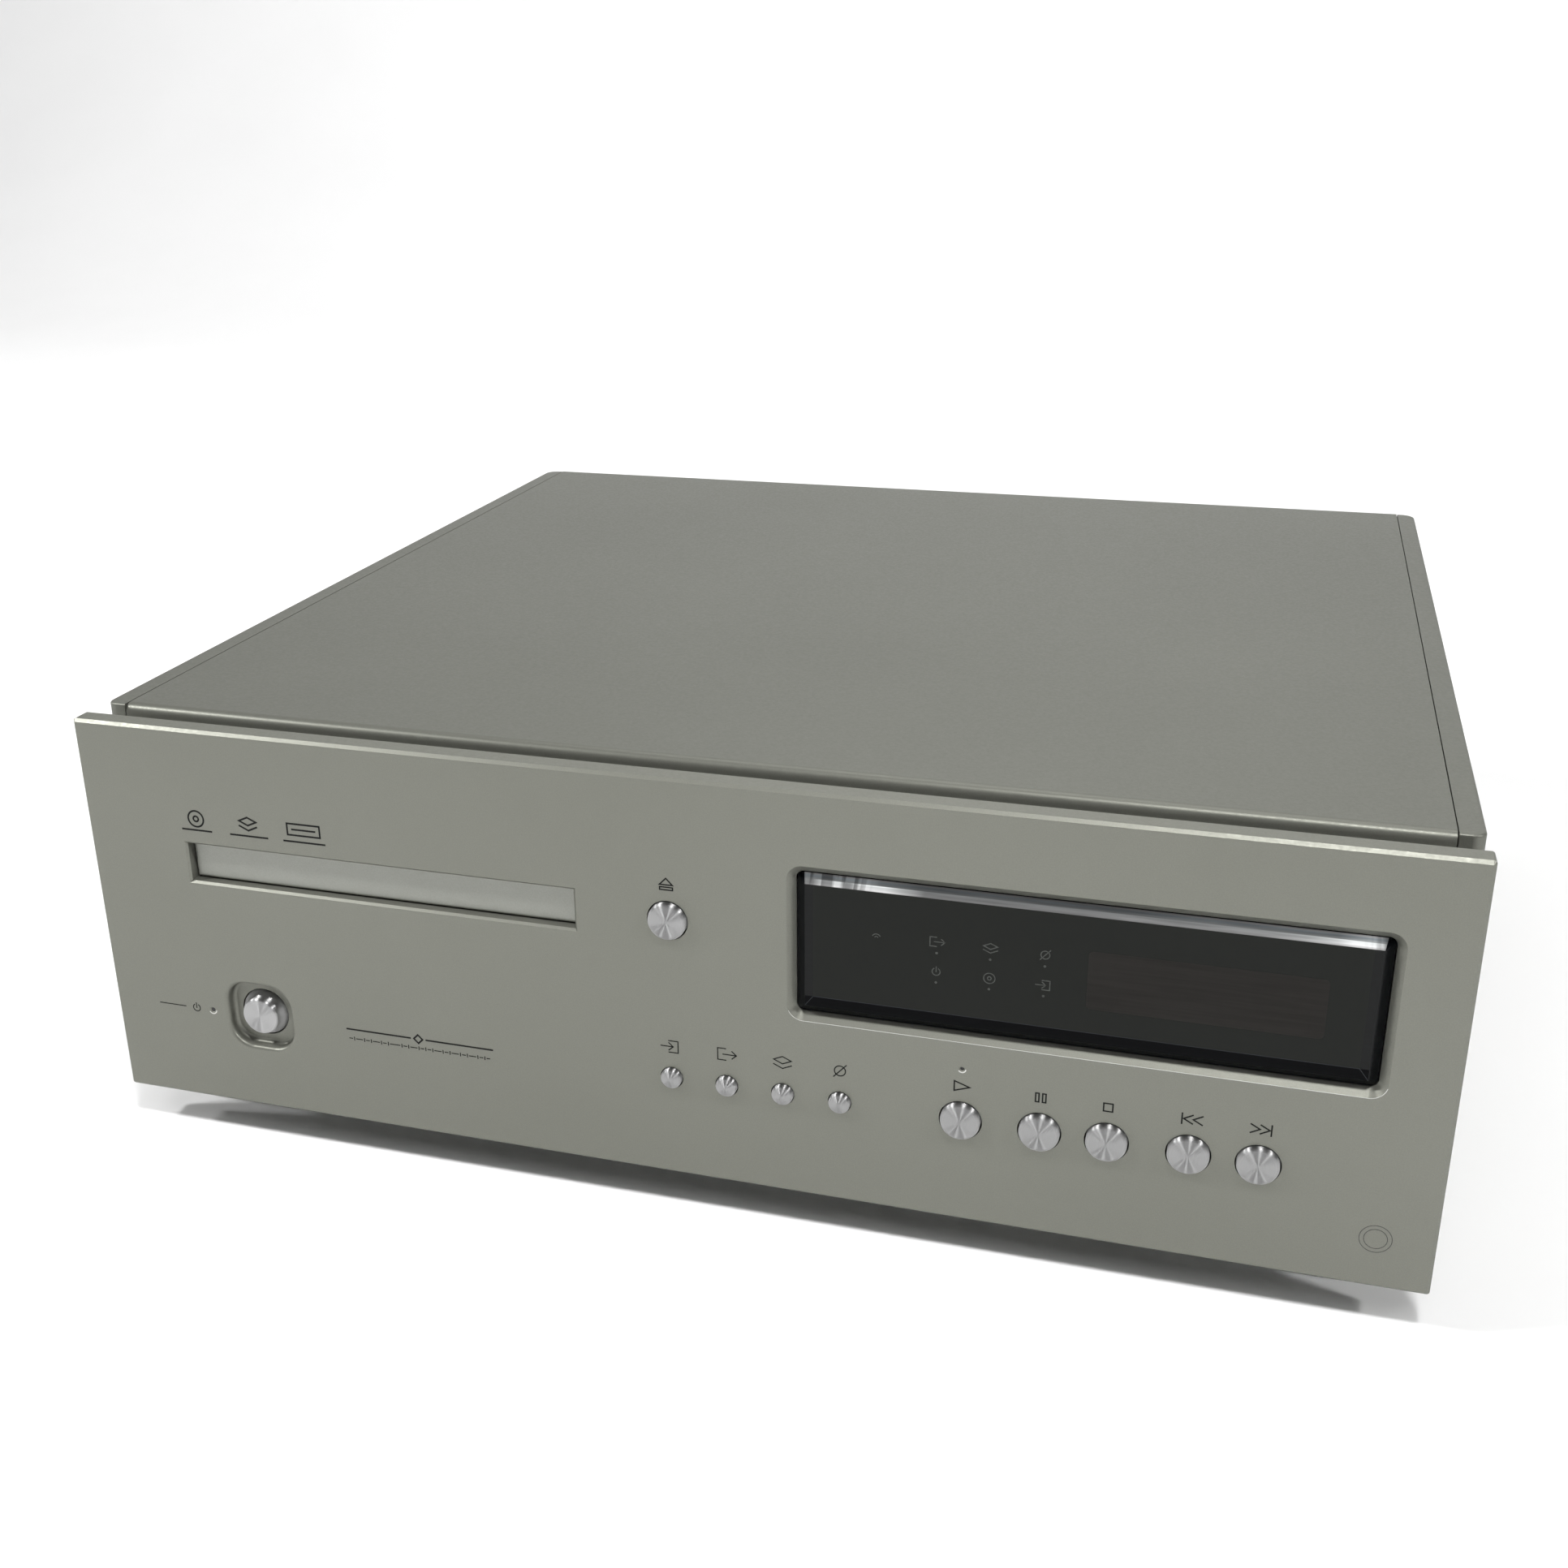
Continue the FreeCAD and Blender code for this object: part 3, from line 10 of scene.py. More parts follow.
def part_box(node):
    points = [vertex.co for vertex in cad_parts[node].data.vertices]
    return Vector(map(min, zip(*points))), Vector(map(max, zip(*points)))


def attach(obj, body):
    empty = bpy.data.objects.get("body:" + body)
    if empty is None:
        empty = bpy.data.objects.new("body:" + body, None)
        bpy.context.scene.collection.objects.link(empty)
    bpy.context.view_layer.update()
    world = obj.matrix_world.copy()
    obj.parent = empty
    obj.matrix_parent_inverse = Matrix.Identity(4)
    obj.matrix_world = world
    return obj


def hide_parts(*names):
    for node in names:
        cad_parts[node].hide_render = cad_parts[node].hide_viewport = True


MM = 0.001
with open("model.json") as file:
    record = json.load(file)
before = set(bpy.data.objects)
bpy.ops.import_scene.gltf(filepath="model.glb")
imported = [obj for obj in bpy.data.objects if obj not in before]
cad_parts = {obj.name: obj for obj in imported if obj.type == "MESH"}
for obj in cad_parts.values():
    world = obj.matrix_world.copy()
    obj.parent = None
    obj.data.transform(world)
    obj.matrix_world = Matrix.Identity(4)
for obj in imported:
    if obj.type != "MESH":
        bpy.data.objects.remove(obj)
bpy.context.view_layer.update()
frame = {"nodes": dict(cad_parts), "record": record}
nodes = frame["nodes"]


# ---- places read from the frame ----

def span(node):
    """Lowest and highest corner of a CAD node at rest."""
    low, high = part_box(node)
    return Vector(low), Vector(high)


PANEL_LOW = span("front_panel")[0]
FACE = PANEL_LOW.y
PANEL_BOTTOM = PANEL_LOW.z
INK_LIFT, INK_THICK = 0.03 * MM, 0.02 * MM


# ---- materials ----

# the middle of a noise texture's range, where nearly all of its values lie
NOISE_LOW, NOISE_HIGH = 0.3, 0.7


class Shader:
    """A small helper that builds one procedural material node by node."""

    def __init__(self, name):
        self.material = bpy.data.materials.new(name)
        self.material.use_nodes = True
        self.tree = self.material.node_tree
        self.base = self.tree.nodes["Principled BSDF"]

    def set(self, **values):
        for name, value in values.items():
            self.base.inputs[name.replace("_", " ")].default_value = value
        return self

    def add(self, kind, **values):
        item = self.tree.nodes.new("ShaderNode" + kind)
        for name, value in values.items():
            setattr(item, name, value)
        return item

    def link(self, source, target):
        self.tree.links.new(source, target)

    def coordinates(self, scale=(1, 1, 1)):
        place = self.add("TexCoord")
        mapping = self.add("Mapping")
        mapping.inputs["Scale"].default_value = scale
        self.link(place.outputs["Object"], mapping.inputs["Vector"])
        return mapping.outputs["Vector"]

    def noise(self, scale, detail=2, stretch=(1, 1, 1)):
        texture = self.add("TexNoise")
        texture.inputs["Scale"].default_value = scale
        texture.inputs["Detail"].default_value = detail
        self.link(self.coordinates(stretch), texture.inputs["Vector"])
        return texture.outputs["Fac"]

    def ramp(self, source, low, high, start=NOISE_LOW, end=NOISE_HIGH):
        curve = self.add("ValToRGB")
        curve.color_ramp.elements[0].position = start
        curve.color_ramp.elements[1].position = end
        curve.color_ramp.elements[0].color = colour(low)
        curve.color_ramp.elements[1].color = colour(high)
        self.link(source, curve.inputs["Fac"])
        return curve.outputs["Color"]

    def tint(self, source, low, high, start=NOISE_LOW, end=NOISE_HIGH):
        self.link(self.ramp(source, low, high, start, end), self.base.inputs["Base Color"])
        return self

    def rough(self, source, low, high):
        spread = self.add("MapRange")
        spread.inputs["From Min"].default_value = NOISE_LOW
        spread.inputs["From Max"].default_value = NOISE_HIGH
        spread.inputs["To Min"].default_value = low
        spread.inputs["To Max"].default_value = high
        self.link(source, spread.inputs["Value"])
        self.link(spread.outputs["Result"], self.base.inputs["Roughness"])
        return self

    def bump(self, source, depth, strength=1.0):
        relief = self.add("Bump")
        relief.inputs["Strength"].default_value = strength
        relief.inputs["Distance"].default_value = depth
        self.link(source, relief.inputs["Height"])
        self.link(relief.outputs["Normal"], self.base.inputs["Normal"])
        return self


def colour(value):
    if isinstance(value, (int, float)):
        value = (value, value, value)
    return (*value, 1.0)


def grained(name, low, high, grain, depth, rough, metallic=0.0, coarse=18.0):
    """A surface with fine grain in its relief and a slow drift in its colour."""
    shader = Shader(name)
    shader.set(Metallic=metallic)
    shader.tint(shader.noise(coarse, 3), low, high)
    shader.rough(shader.noise(grain / 4, 2), *rough)
    shader.bump(shader.noise(grain, 2), depth)
    return shader.material


def blasted_aluminium(name, low, high, rough):
    """Bead-blasted and anodised aluminium: a dense, even, very fine sparkle under a satin sheen.

    It is only part metallic, because the anodised film scatters light.
    """
    shader = Shader(name)
    shader.set(Metallic=0.55, Specular_Tint=(0.5, 0.5, 0.5, 1.0), Specular_IOR_Level=0.3)
    fine = shader.noise(2600, 1)
    drift = shader.noise(6, 3)
    mix = shader.add("Mix", data_type="RGBA", blend_type="MULTIPLY")
    mix.inputs["Factor"].default_value = 0.55
    shader.link(shader.ramp(drift, low, high), mix.inputs["A"])
    shader.link(shader.ramp(fine, 0.86, 1.0), mix.inputs["B"])
    shader.link(mix.outputs["Result"], shader.base.inputs["Base Color"])
    shader.rough(shader.noise(900, 2), *rough)
    shader.bump(fine, 0.012 * MM, 0.6)
    return shader.material


def turned_metal(name, tone, rings, rough=0.26, anisotropy=0.82):
    """Face-turned metal: fine rings round the cap's own axis, which is Y."""
    shader = Shader(name)
    shader.set(Metallic=1.0, Anisotropic=anisotropy, Anisotropic_Rotation=0.25)
    tangent = shader.add("Tangent", direction_type="RADIAL", axis="Y")
    shader.link(tangent.outputs["Tangent"], shader.base.inputs["Tangent"])
    place = shader.add("TexCoord")
    split = shader.add("SeparateXYZ")
    shader.link(place.outputs["UV"], split.inputs["Vector"])
    wave = shader.add("TexNoise", noise_dimensions="1D")
    wave.inputs["Scale"].default_value = rings
    wave.inputs["Detail"].default_value = 2
    shader.link(split.outputs["X"], wave.inputs["W"])
    shader.tint(wave.outputs["Fac"], tone[0], tone[1])
    shader.rough(wave.outputs["Fac"], rough - 0.02, rough + 0.03)
    shader.bump(wave.outputs["Fac"], 0.005 * MM, 0.12)
    return shader.material


def ink(name, tone):
    shader = Shader(name)
    shader.set(Specular_IOR_Level=0.12)
    shader.tint(shader.noise(1400, 2), tone, tuple(value * 1.5 + 0.004 for value in tone))
    shader.rough(shader.noise(700, 1), 0.45, 0.6)
    return shader.material


def smoked_face():
    """The window's polished face: near-black, faintly green, with the dark mask behind it."""
    shader = Shader("smoked_face")
    shader.set(Specular_IOR_Level=0.12)
    shader.tint(shader.noise(5, 2), (0.0085, 0.0096, 0.0082), (0.0105, 0.0116, 0.010))
    shader.rough(shader.noise(900, 1), 0.16, 0.24)
    return shader.material


def polished(name, tone, rough, gloss=0.15):
    """Polished dark acrylic, with faint polishing streaks along X."""
    shader = Shader(name)
    shader.set(Specular_IOR_Level=gloss)
    streak = shader.noise(260, 3, (0.15, 1, 4))
    shader.tint(streak, tone, tuple(value * 1.25 for value in tone))
    shader.rough(streak, rough, rough + 0.07)
    return shader.material


def painted_glow_bevel(low, high, left, right):
    """The window's long upper bevel, shown with painted light: a dark surface that glows through its
    emission though it is no lamp, with painted highlights and painted reflections in bands along it, and a
    painted pattern of bright facets at both ends.

    The stops are (share of the bevel's length or rise, tone).
    """
    shader = Shader("painted_glow_bevel")
    # painted light: the bevel glows through its emission, though it is no lamp; the emission colour carries
    # the painted tones built below
    shader.set(Base_Color=colour(0.02), Emission_Strength=0.95, Specular_IOR_Level=0.3)
    place = shader.add("TexCoord")
    split = shader.add("SeparateXYZ")
    shader.link(place.outputs["Object"], split.inputs["Vector"])

    def share(axis, start, end):
        spread = shader.add("MapRange")
        spread.inputs["From Min"].default_value = start
        spread.inputs["From Max"].default_value = end
        shader.link(split.outputs[axis], spread.inputs["Value"])
        return spread.outputs["Result"]

    def steps(source, stops):
        curve = shader.add("ValToRGB")
        for position, tone in stops[1:-1]:
            curve.color_ramp.elements.new(position).color = colour(tone)
        curve.color_ramp.elements[0].color = colour(stops[0][1])
        curve.color_ramp.elements[len(stops) - 1].color = colour(stops[-1][1])
        shader.link(source, curve.inputs["Fac"])
        return curve.outputs["Color"]

    def blend(kind, first, second, factor=None):
        mix = shader.add("Mix", data_type="RGBA", blend_type=kind)
        mix.inputs["Factor"].default_value = 1.0
        if factor is not None:
            shader.link(factor, mix.inputs["Factor"])
        shader.link(first, mix.inputs["A"])
        shader.link(second, mix.inputs["B"])
        return mix.outputs["Result"]

    rise, along = share("Z", low, high), share("X", left, right)
    # painted highlights and painted reflections: bright and dark bands along the bevel's length, lighter in
    # its lower half than in its upper, and lighter or darker and tinted along its rise
    lower = steps(along, ((0, 0.4), (0.03, 0.2), (0.055, 0.95), (0.08, 0.85), (0.088, 0.24), (0.1, 0.3),
                          (0.112, 0.95), (0.16, 0.95), (0.19, 0.5), (0.23, 0.17), (0.5, 0.17), (0.58, 0.23),
                          (0.66, 0.2), (0.78, 0.27), (0.86, 0.4), (0.91, 0.65), (0.935, 0.98), (0.975, 1.0),
                          (0.984, 0.2), (1, 0.2)))
    upper = steps(along, ((0, 0.2), (0.1, 0.21), (0.12, 0.28), (0.15, 0.12), (0.22, 0.072), (0.6, 0.085),
                          (0.8, 0.13), (0.91, 0.15), (0.935, 0.26), (0.97, 0.42), (0.984, 0.12), (1, 0.12)))
    layer = steps(rise, ((0, 0.0), (0.47, 0.0), (0.52, 1.0), (1, 1.0)))
    edge = steps(rise, ((0, (0.5, 0.5, 0.5)), (0.06, (1, 1, 1)), (0.5, (0.96, 1, 1)),
                        (0.8, (0.82, 0.93, 1)), (0.9, (1, 1, 1)), (1, (0.4, 0.4, 0.42))))
    streaks = shader.ramp(shader.noise(1.0, 3, (45, 40, 1500)), 0.72, 1.08, 0.35, 0.65)
    glow = blend("MULTIPLY", blend("MIX", lower, upper, layer), blend("MULTIPLY", edge, streaks))
    # painted reflection: a pattern of bright and dark facets, laid only near both ends of the bevel
    painted_end_reflections = shader.ramp(shader.noise(1.0, 1, (520, 40, 60)), 0.35, 1.0, 0.44, 0.56)
    ends = steps(along, ((0, 1.0), (0.11, 1.0), (0.14, 0.0), (0.95, 0.0), (0.975, 0.8), (1, 0.8)))
    tone = blend("MIX", glow, blend("MULTIPLY", glow, painted_end_reflections), ends)
    shader.link(tone, shader.base.inputs["Emission Color"])
    shader.rough(streaks, 0.1, 0.2)
    return shader.material


def board_green():
    shader = Shader("solder_resist")
    tracks = shader.noise(120, 4, (1, 6, 1))
    shader.tint(tracks, (0.012, 0.07, 0.028), (0.03, 0.12, 0.05), 0.48, 0.52)
    shader.rough(shader.noise(400, 2), 0.3, 0.45)
    shader.bump(tracks, 0.05 * MM, 0.4)
    return shader.material


def brushed(name, low, high, rough=0.32, stretch=(0.05, 1, 1)):
    shader = Shader(name)
    shader.set(Metallic=1.0)
    streak = shader.noise(700, 3, stretch)
    shader.tint(streak, low, high)
    shader.rough(streak, rough - 0.05, rough + 0.08)
    shader.bump(streak, 0.02 * MM, 0.4)
    return shader.material


SATIN = (0.36, 0.44)
MATERIALS = {
    "satin_aluminium": blasted_aluminium("blasted_aluminium", (0.196, 0.199, 0.172),
                                         (0.210, 0.213, 0.185), SATIN),
    "tray_aluminium": blasted_aluminium("tray_front_aluminium", (0.272, 0.277, 0.250),
                                        (0.296, 0.301, 0.274), (0.32, 0.40)),
    "turned_aluminium": turned_metal("turned_aluminium", (0.62, 0.72), 900),
    "smoked_acrylic": smoked_face(),
    "black_plastic": grained("black_plastic", 0.012, 0.02, 1500, 0.03 * MM, (0.4, 0.55)),
    "display_glass": grained("display_glass", (0.02, 0.018, 0.016), (0.026, 0.023, 0.02), 900, 0.005 * MM,
                             (0.3, 0.35)),
    "green_board": board_green(),
    "plated_steel": brushed("plated_steel", (0.5, 0.5, 0.48), (0.62, 0.62, 0.6)),
    "rear_paint": grained("rear_paint", 0.016, 0.024, 1100, 0.06 * MM, (0.42, 0.55)),
    "cast_iron": grained("painted_casting", 0.03, 0.05, 700, 0.12 * MM, (0.45, 0.6)),
    "clear_plastic": grained("dark_light_pipe", 0.006, 0.01, 900, 0.01 * MM, (0.12, 0.2)),
    "tray_plastic": grained("tray_plastic", 0.018, 0.026, 1300, 0.04 * MM, (0.42, 0.55)),
    "white_plastic": grained("acetal", (0.62, 0.61, 0.57), (0.7, 0.69, 0.65), 900, 0.01 * MM, (0.35, 0.45)),
    "belt_rubber": grained("belt_rubber", 0.008, 0.014, 900, 0.02 * MM, (0.6, 0.75)),
    "lens_plastic": grained("lens_plastic", 0.02, 0.03, 900, 0.01 * MM, (0.3, 0.4)),
    "winding_wrap": grained("winding_wrap", 0.03, 0.05, 300, 0.2 * MM, (0.4, 0.55)),
    "can_sleeve": grained("can_sleeve", (0.01, 0.012, 0.03), (0.016, 0.02, 0.045), 500, 0.01 * MM,
                          (0.2, 0.3)),
    "gold": brushed("gold_plate", (0.72, 0.48, 0.16), (0.86, 0.6, 0.24), 0.2, (1, 1, 0.2)),
}

INK_BLACK = ink("printed_black", (0.005, 0.005, 0.005))
# painted highlight: the bright metal for strips laid where highlights fall on edges
PAINTED_HIGHLIGHT = brushed("painted_highlight_strip", (0.5, 0.5, 0.48), (0.62, 0.62, 0.6), 0.3)
INK_GREY = ink("printed_grey", (0.06, 0.06, 0.058))
INK_DIM = ink("unlit_print", (0.052, 0.055, 0.051))


def dress(piece, *materials):
    """Give a piece its materials, keeping which face uses which."""
    slots = piece.data.materials
    for index, material in enumerate(materials):
        if index < len(slots):
            slots[index] = material
        else:
            slots.append(material)


for part in frame["record"]["subparts"]:
    dress(nodes[part["node"]], MATERIALS[part["material_slot"]])
# painted shade: the top plate and side panels take a darker copy of the front's blasted aluminium, so the
# top of the case reads darker
SHADED_COVER_METAL = blasted_aluminium("cover_aluminium_painted_shade", (0.161, 0.164, 0.142), (0.173, 0.176, 0.153), SATIN)
for name in ("top_plate", "left_side_panel", "right_side_panel"):
    dress(nodes[name], SHADED_COVER_METAL)


# ---- mesh helpers ----

def piece(name, mesh, body="case", slot=None, smooth_angle=None):
    thing = bpy.data.objects.new(name, mesh)
    bpy.context.scene.collection.objects.link(thing)
    if smooth_angle is not None:
        mesh.shade_smooth()
        mesh.set_sharp_from_angle(angle=math.radians(smooth_angle))
    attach(thing, body)
    return thing


def mesh_from(build):
    """A mesh filled by a function that works on a bmesh."""
    work = bmesh.new()
    build(work)
    bmesh.ops.recalc_face_normals(work, faces=work.faces)
    mesh = bpy.data.meshes.new("mesh")
    work.to_mesh(mesh)
    work.free()
    return mesh


ON_AXIS = 1e-7


def lathe(profile, centre, steps=96):
    """A solid turned about Y. Each profile point is (radius, y), and UV x is the radius in metres."""
    def build(work):
        uv = work.loops.layers.uv.new("turning")
        rows = []
        for radius, y in profile:
            if radius < ON_AXIS:
                rows.append([work.verts.new((centre.x, y, centre.z))] * steps)
                continue
            row = []
            for step in range(steps):
                angle = 2 * math.pi * step / steps
                row.append(work.verts.new((centre.x + radius * math.cos(angle), y,
                                           centre.z + radius * math.sin(angle))))
            rows.append(row)
        for upper, lower in zip(rows, rows[1:]):
            for step in range(steps):
                after = (step + 1) % steps
                corners = [upper[step], upper[after], lower[after], lower[step]]
                distinct = list(dict.fromkeys(corners))
                if len(distinct) > 2:
                    work.faces.new(distinct)
        for face in work.faces:
            for loop in face.loops:
                offset = loop.vert.co - centre
                loop[uv].uv = (math.hypot(offset.x, offset.z), loop.vert.co.y)
    return mesh_from(build)


def ribbon(paths, width, y):
    """Printed lines: each path is (closed, [(x, z), ...]) and becomes a flat band of the given width."""
    def build(work):
        for closed, points in paths:
            band(work, [Vector(point) for point in points], closed, width / 2, y, INK_THICK)
    return mesh_from(build)


def band(work, points, closed, half, y, thick):
    """One flat band along a path, mitred at its corners, with square ends where it is open."""
    count = len(points)
    sides = []
    for index, point in enumerate(points):
        before = points[index - 1] if closed or index else None
        after = points[(index + 1) % count] if closed or index < count - 1 else None
        first = (point - before).normalized() if before is not None else (after - point).normalized()
        second = (after - point).normalized() if after is not None else first
        normal = Vector((-(first + second).y, (first + second).x)).normalized()
        reach = half / max(0.35, normal.dot(Vector((-first.y, first.x))))
        start = point if before is not None else point - second * half
        start = start if after is not None else point + first * half
        sides.append((start + normal * reach, start - normal * reach))
    layers = [[(work.verts.new((left.x, depth, left.y)), work.verts.new((right.x, depth, right.y)))
               for left, right in sides] for depth in (y, y + thick)]
    front, back = layers
    for index in range(count if closed else count - 1):
        after = (index + 1) % count
        a, b, c, d = front[index], front[after], back[index], back[after]
        work.faces.new((a[0], a[1], b[1], b[0]))
        work.faces.new((c[0], d[0], d[1], c[1]))
        work.faces.new((a[0], b[0], d[0], c[0]))
        work.faces.new((a[1], c[1], d[1], b[1]))
    if not closed:
        for end in (0, count - 1):
            a, c = front[end], back[end]
            work.faces.new((a[0], c[0], c[1], a[1]))


def arc(x, z, radius, start, end, steps=40):
    """Points along part of a circle, angles in degrees."""
    angles = [math.radians(start + (end - start) * step / steps) for step in range(steps + 1)]
    return [(x + radius * math.cos(angle), z + radius * math.sin(angle)) for angle in angles]


def ring(x, z, radius, steps=48):
    return True, arc(x, z, radius, 0, 360 * (steps - 1) / steps, steps - 1)


def loop(x0, z0, x1, z1):
    return True, [(x0, z0), (x1, z0), (x1, z1), (x0, z1)]


# ---- buttons: turned caps on flanged stems ----

FLANGE = 1.3 * MM
FLANGE_THICK = 1.2 * MM
FLANGE_GAP = 0.3 * MM
PANEL_BACK = FACE + 7.15 * MM
STEM = 2 * MM
SMOOTH_ANGLE = 40


def button_stem(radius, back):
    """The hidden end of every button: side, flange behind the plate, stem."""
    seat = PANEL_BACK + FLANGE_GAP
    return [(radius, seat), (radius + FLANGE, seat), (radius + FLANGE, seat + FLANGE_THICK),
            (STEM, seat + FLANGE_THICK), (STEM, back), (0.0, back)]


def rounded_rim(flat, start, rim):
    """A quarter circle from the edge of the face to the side of a cap."""
    angles = [math.pi / 2 * step / 8 for step in range(9)]
    return [(flat + rim * math.sin(angle), start + rim * (1 - math.cos(angle))) for angle in angles]


def fit_cap(node, profile, material):
    """Turn a cap from its profile and put it in place of the CAD button."""
    low, high = span(node)
    thing = piece(node + "_cap", lathe(profile, (low + high) / 2), node, "turned_aluminium", SMOOTH_ANGLE)
    dress(thing, material)
    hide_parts(node)


def cap(node, rim, dome, material):
    """A plain round button: gently domed face, rounded rim, then the stem."""
    low, high = span(node)
    radius = (high.x - low.x) / 2 - FLANGE
    front = low.y
    flat = radius - rim
    profile = [(0.0, front)]
    profile += [(flat * share, front + dome * share ** 2) for share in (0.15, 0.3, 0.45, 0.6, 0.75, 0.9)]
    profile += rounded_rim(flat, front + dome, rim) + button_stem(radius, high.y)
    fit_cap(node, profile, material)


def power_cap(node, material):
    """The tapered power button: bright flat face, small round rim, skirt flared to the dish's floor."""
    low, high = span(node)
    skirt = (high.x - low.x) / 2 - FLANGE
    face, rim, front = 6.7 * MM, 0.8 * MM, low.y
    flare_start, flare_end, flare_power = 1.6 * MM, 4 * MM, 1.25
    profile = [(0.0, front)] + [((face - rim) * share, front) for share in (0.25, 0.5, 0.75)]
    profile += rounded_rim(face - rim, front, rim)
    for share in (0.0, 0.33, 0.66, 1.0):
        reach = face + (skirt - face) * share ** flare_power
        profile.append((reach, front + flare_start + (flare_end - flare_start) * share))
    fit_cap(node, profile + button_stem(skirt, high.y), material)


CAP_FACE = turned_metal("turned_caps", (0.395, 0.425), 2600, 0.46, 1.0)
POWER_FACE = turned_metal("turned_power_cap", (0.405, 0.435), 2600, 0.42, 0.95)
LARGE = ["eject_button", "play_button", "pause_button", "stop_button", "previous_button", "next_button"]
SMALL = ["input_button", "output_button", "layer_button", "phase_button"]
LARGE_RIM, LARGE_DOME = 0.9 * MM, 0.12 * MM
SMALL_RIM, SMALL_DOME = 0.8 * MM, 0.5 * MM
for name in LARGE:
    cap(name, LARGE_RIM, LARGE_DOME, CAP_FACE)
for name in SMALL:
    cap(name, SMALL_RIM, SMALL_DOME, CAP_FACE)
power_cap("power_button", POWER_FACE)


# ---- display window: polished bevels round a dark face ----

WINDOW_LOW, WINDOW_HIGH = span("display_window")
BEVEL_WIDE, BEVEL_DEEP = 2.9 * MM, 2.5 * MM
MASK_SIDE, MASK_LOW = 2.6 * MM, 3.4 * MM


def window_mesh():
    """A block with bevelled front edges.

    Materials: 0 border, 1 masked middle, 2 upper bevel, 3 lower band, 4 the other bevels and the sides.
    """
    y0, y1, y2 = WINDOW_LOW.y, WINDOW_LOW.y + BEVEL_DEEP, WINDOW_HIGH.y
    left, right, low, high = WINDOW_LOW.x, WINDOW_HIGH.x, WINDOW_LOW.z, WINDOW_HIGH.z
    corner = 2.2 * MM
    inner_left, inner_right = left + BEVEL_WIDE, right - BEVEL_WIDE
    xs = [inner_left, inner_left + MASK_SIDE, inner_right - MASK_SIDE, inner_right]
    zs = [low + BEVEL_WIDE, low + BEVEL_WIDE + MASK_LOW, high - BEVEL_WIDE]

    def build(work):
        grid = [[work.verts.new((x, y0, z)) for x in xs] for z in zs]
        for row in range(2):
            for column in range(3):
                face = work.faces.new((grid[row][column], grid[row][column + 1],
                                       grid[row + 1][column + 1], grid[row + 1][column]))
                face.material_index = 3 if row == 0 else (1 if column == 1 else 0)
        outline = []
        for x, z, start in ((left + corner, low + corner, 180), (right - corner, low + corner, 270),
                            (right - corner, high - corner, 0), (left + corner, high - corner, 90)):
            outline.append(arc(x, z, corner, start, start + 90, 6))
        middles = [[(xs[1], low), (xs[2], low)], [(right, zs[1])],
                   [(xs[2], high), (xs[1], high)], [(left, zs[1])]]
        rims, sides, backs = [], [], []
        for turn in range(4):
            curve = outline[turn]
            rims.append([work.verts.new((x, y1, z)) for x, z in curve])
            backs.append([work.verts.new((x, y2, z)) for x, z in curve])
            sides.append(([work.verts.new((x, y1, z)) for x, z in middles[turn]],
                          [work.verts.new((x, y2, z)) for x, z in middles[turn]]))
        corners = [grid[0][0], grid[0][3], grid[2][3], grid[2][0]]
        edges = [[grid[0][1], grid[0][2]], [grid[1][3]], [grid[2][2], grid[2][1]], [grid[1][0]]]
        for turn in range(4):
            rim, back, after = rims[turn], backs[turn], (turn + 1) % 4
            for step in range(len(rim) - 1):
                work.faces.new((corners[turn], rim[step], rim[step + 1])).material_index = 4
                work.faces.new((rim[step], back[step], back[step + 1], rim[step + 1])).material_index = 4
            near_row = [corners[turn]] + edges[turn] + [corners[after]]
            far_row = [rim[-1]] + sides[turn][0] + [rims[after][0]]
            last_row = [back[-1]] + sides[turn][1] + [backs[after][0]]
            for step in range(len(near_row) - 1):
                face = work.faces.new((near_row[step], far_row[step],
                                       far_row[step + 1], near_row[step + 1]))
                face.material_index = 2 if turn == 2 else 4
                work.faces.new((far_row[step], last_row[step], last_row[step + 1],
                                far_row[step + 1])).material_index = 4
        back_rim = []
        for turn in range(4):
            back_rim += backs[turn] + sides[turn][1]
        work.faces.new(back_rim).material_index = 0
    return mesh_from(build)


BORDER = polished("window_border", (0.0055, 0.006, 0.006), 0.12)
MASK = MATERIALS["smoked_acrylic"]
BAND = polished("window_lower_band", (0.0014, 0.0016, 0.002), 0.12, 0.05)
UPPER_BEVEL = painted_glow_bevel(WINDOW_HIGH.z - BEVEL_WIDE, WINDOW_HIGH.z, WINDOW_LOW.x, WINDOW_HIGH.x)
DARK_BEVEL = polished("window_dark_bevel", (0.002, 0.0024, 0.003), 0.12, 0.1)
window = piece("window_block", window_mesh(), "case", "smoked_acrylic")
dress(window, BORDER, MASK, UPPER_BEVEL, BAND, DARK_BEVEL)
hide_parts("display_window")


# ---- printed marks, all plain symbols with no lettering, and painted highlight strips ----

def absolute(z):
    """Height on the front plate, in millimetres from its lower edge, as a place in the frame."""
    return PANEL_BOTTOM + z * MM


def mark(name, paths, width, material=INK_BLACK, y=FACE, slot="black_plastic"):
    """Lines given in millimetres: x from the middle, z from the front plate's lower edge."""
    scaled = [(closed, [(x * MM, absolute(z)) for x, z in points]) for closed, points in paths]
    dress(piece(name, ribbon(scaled, width * MM, y - INK_LIFT), "case", slot), material)


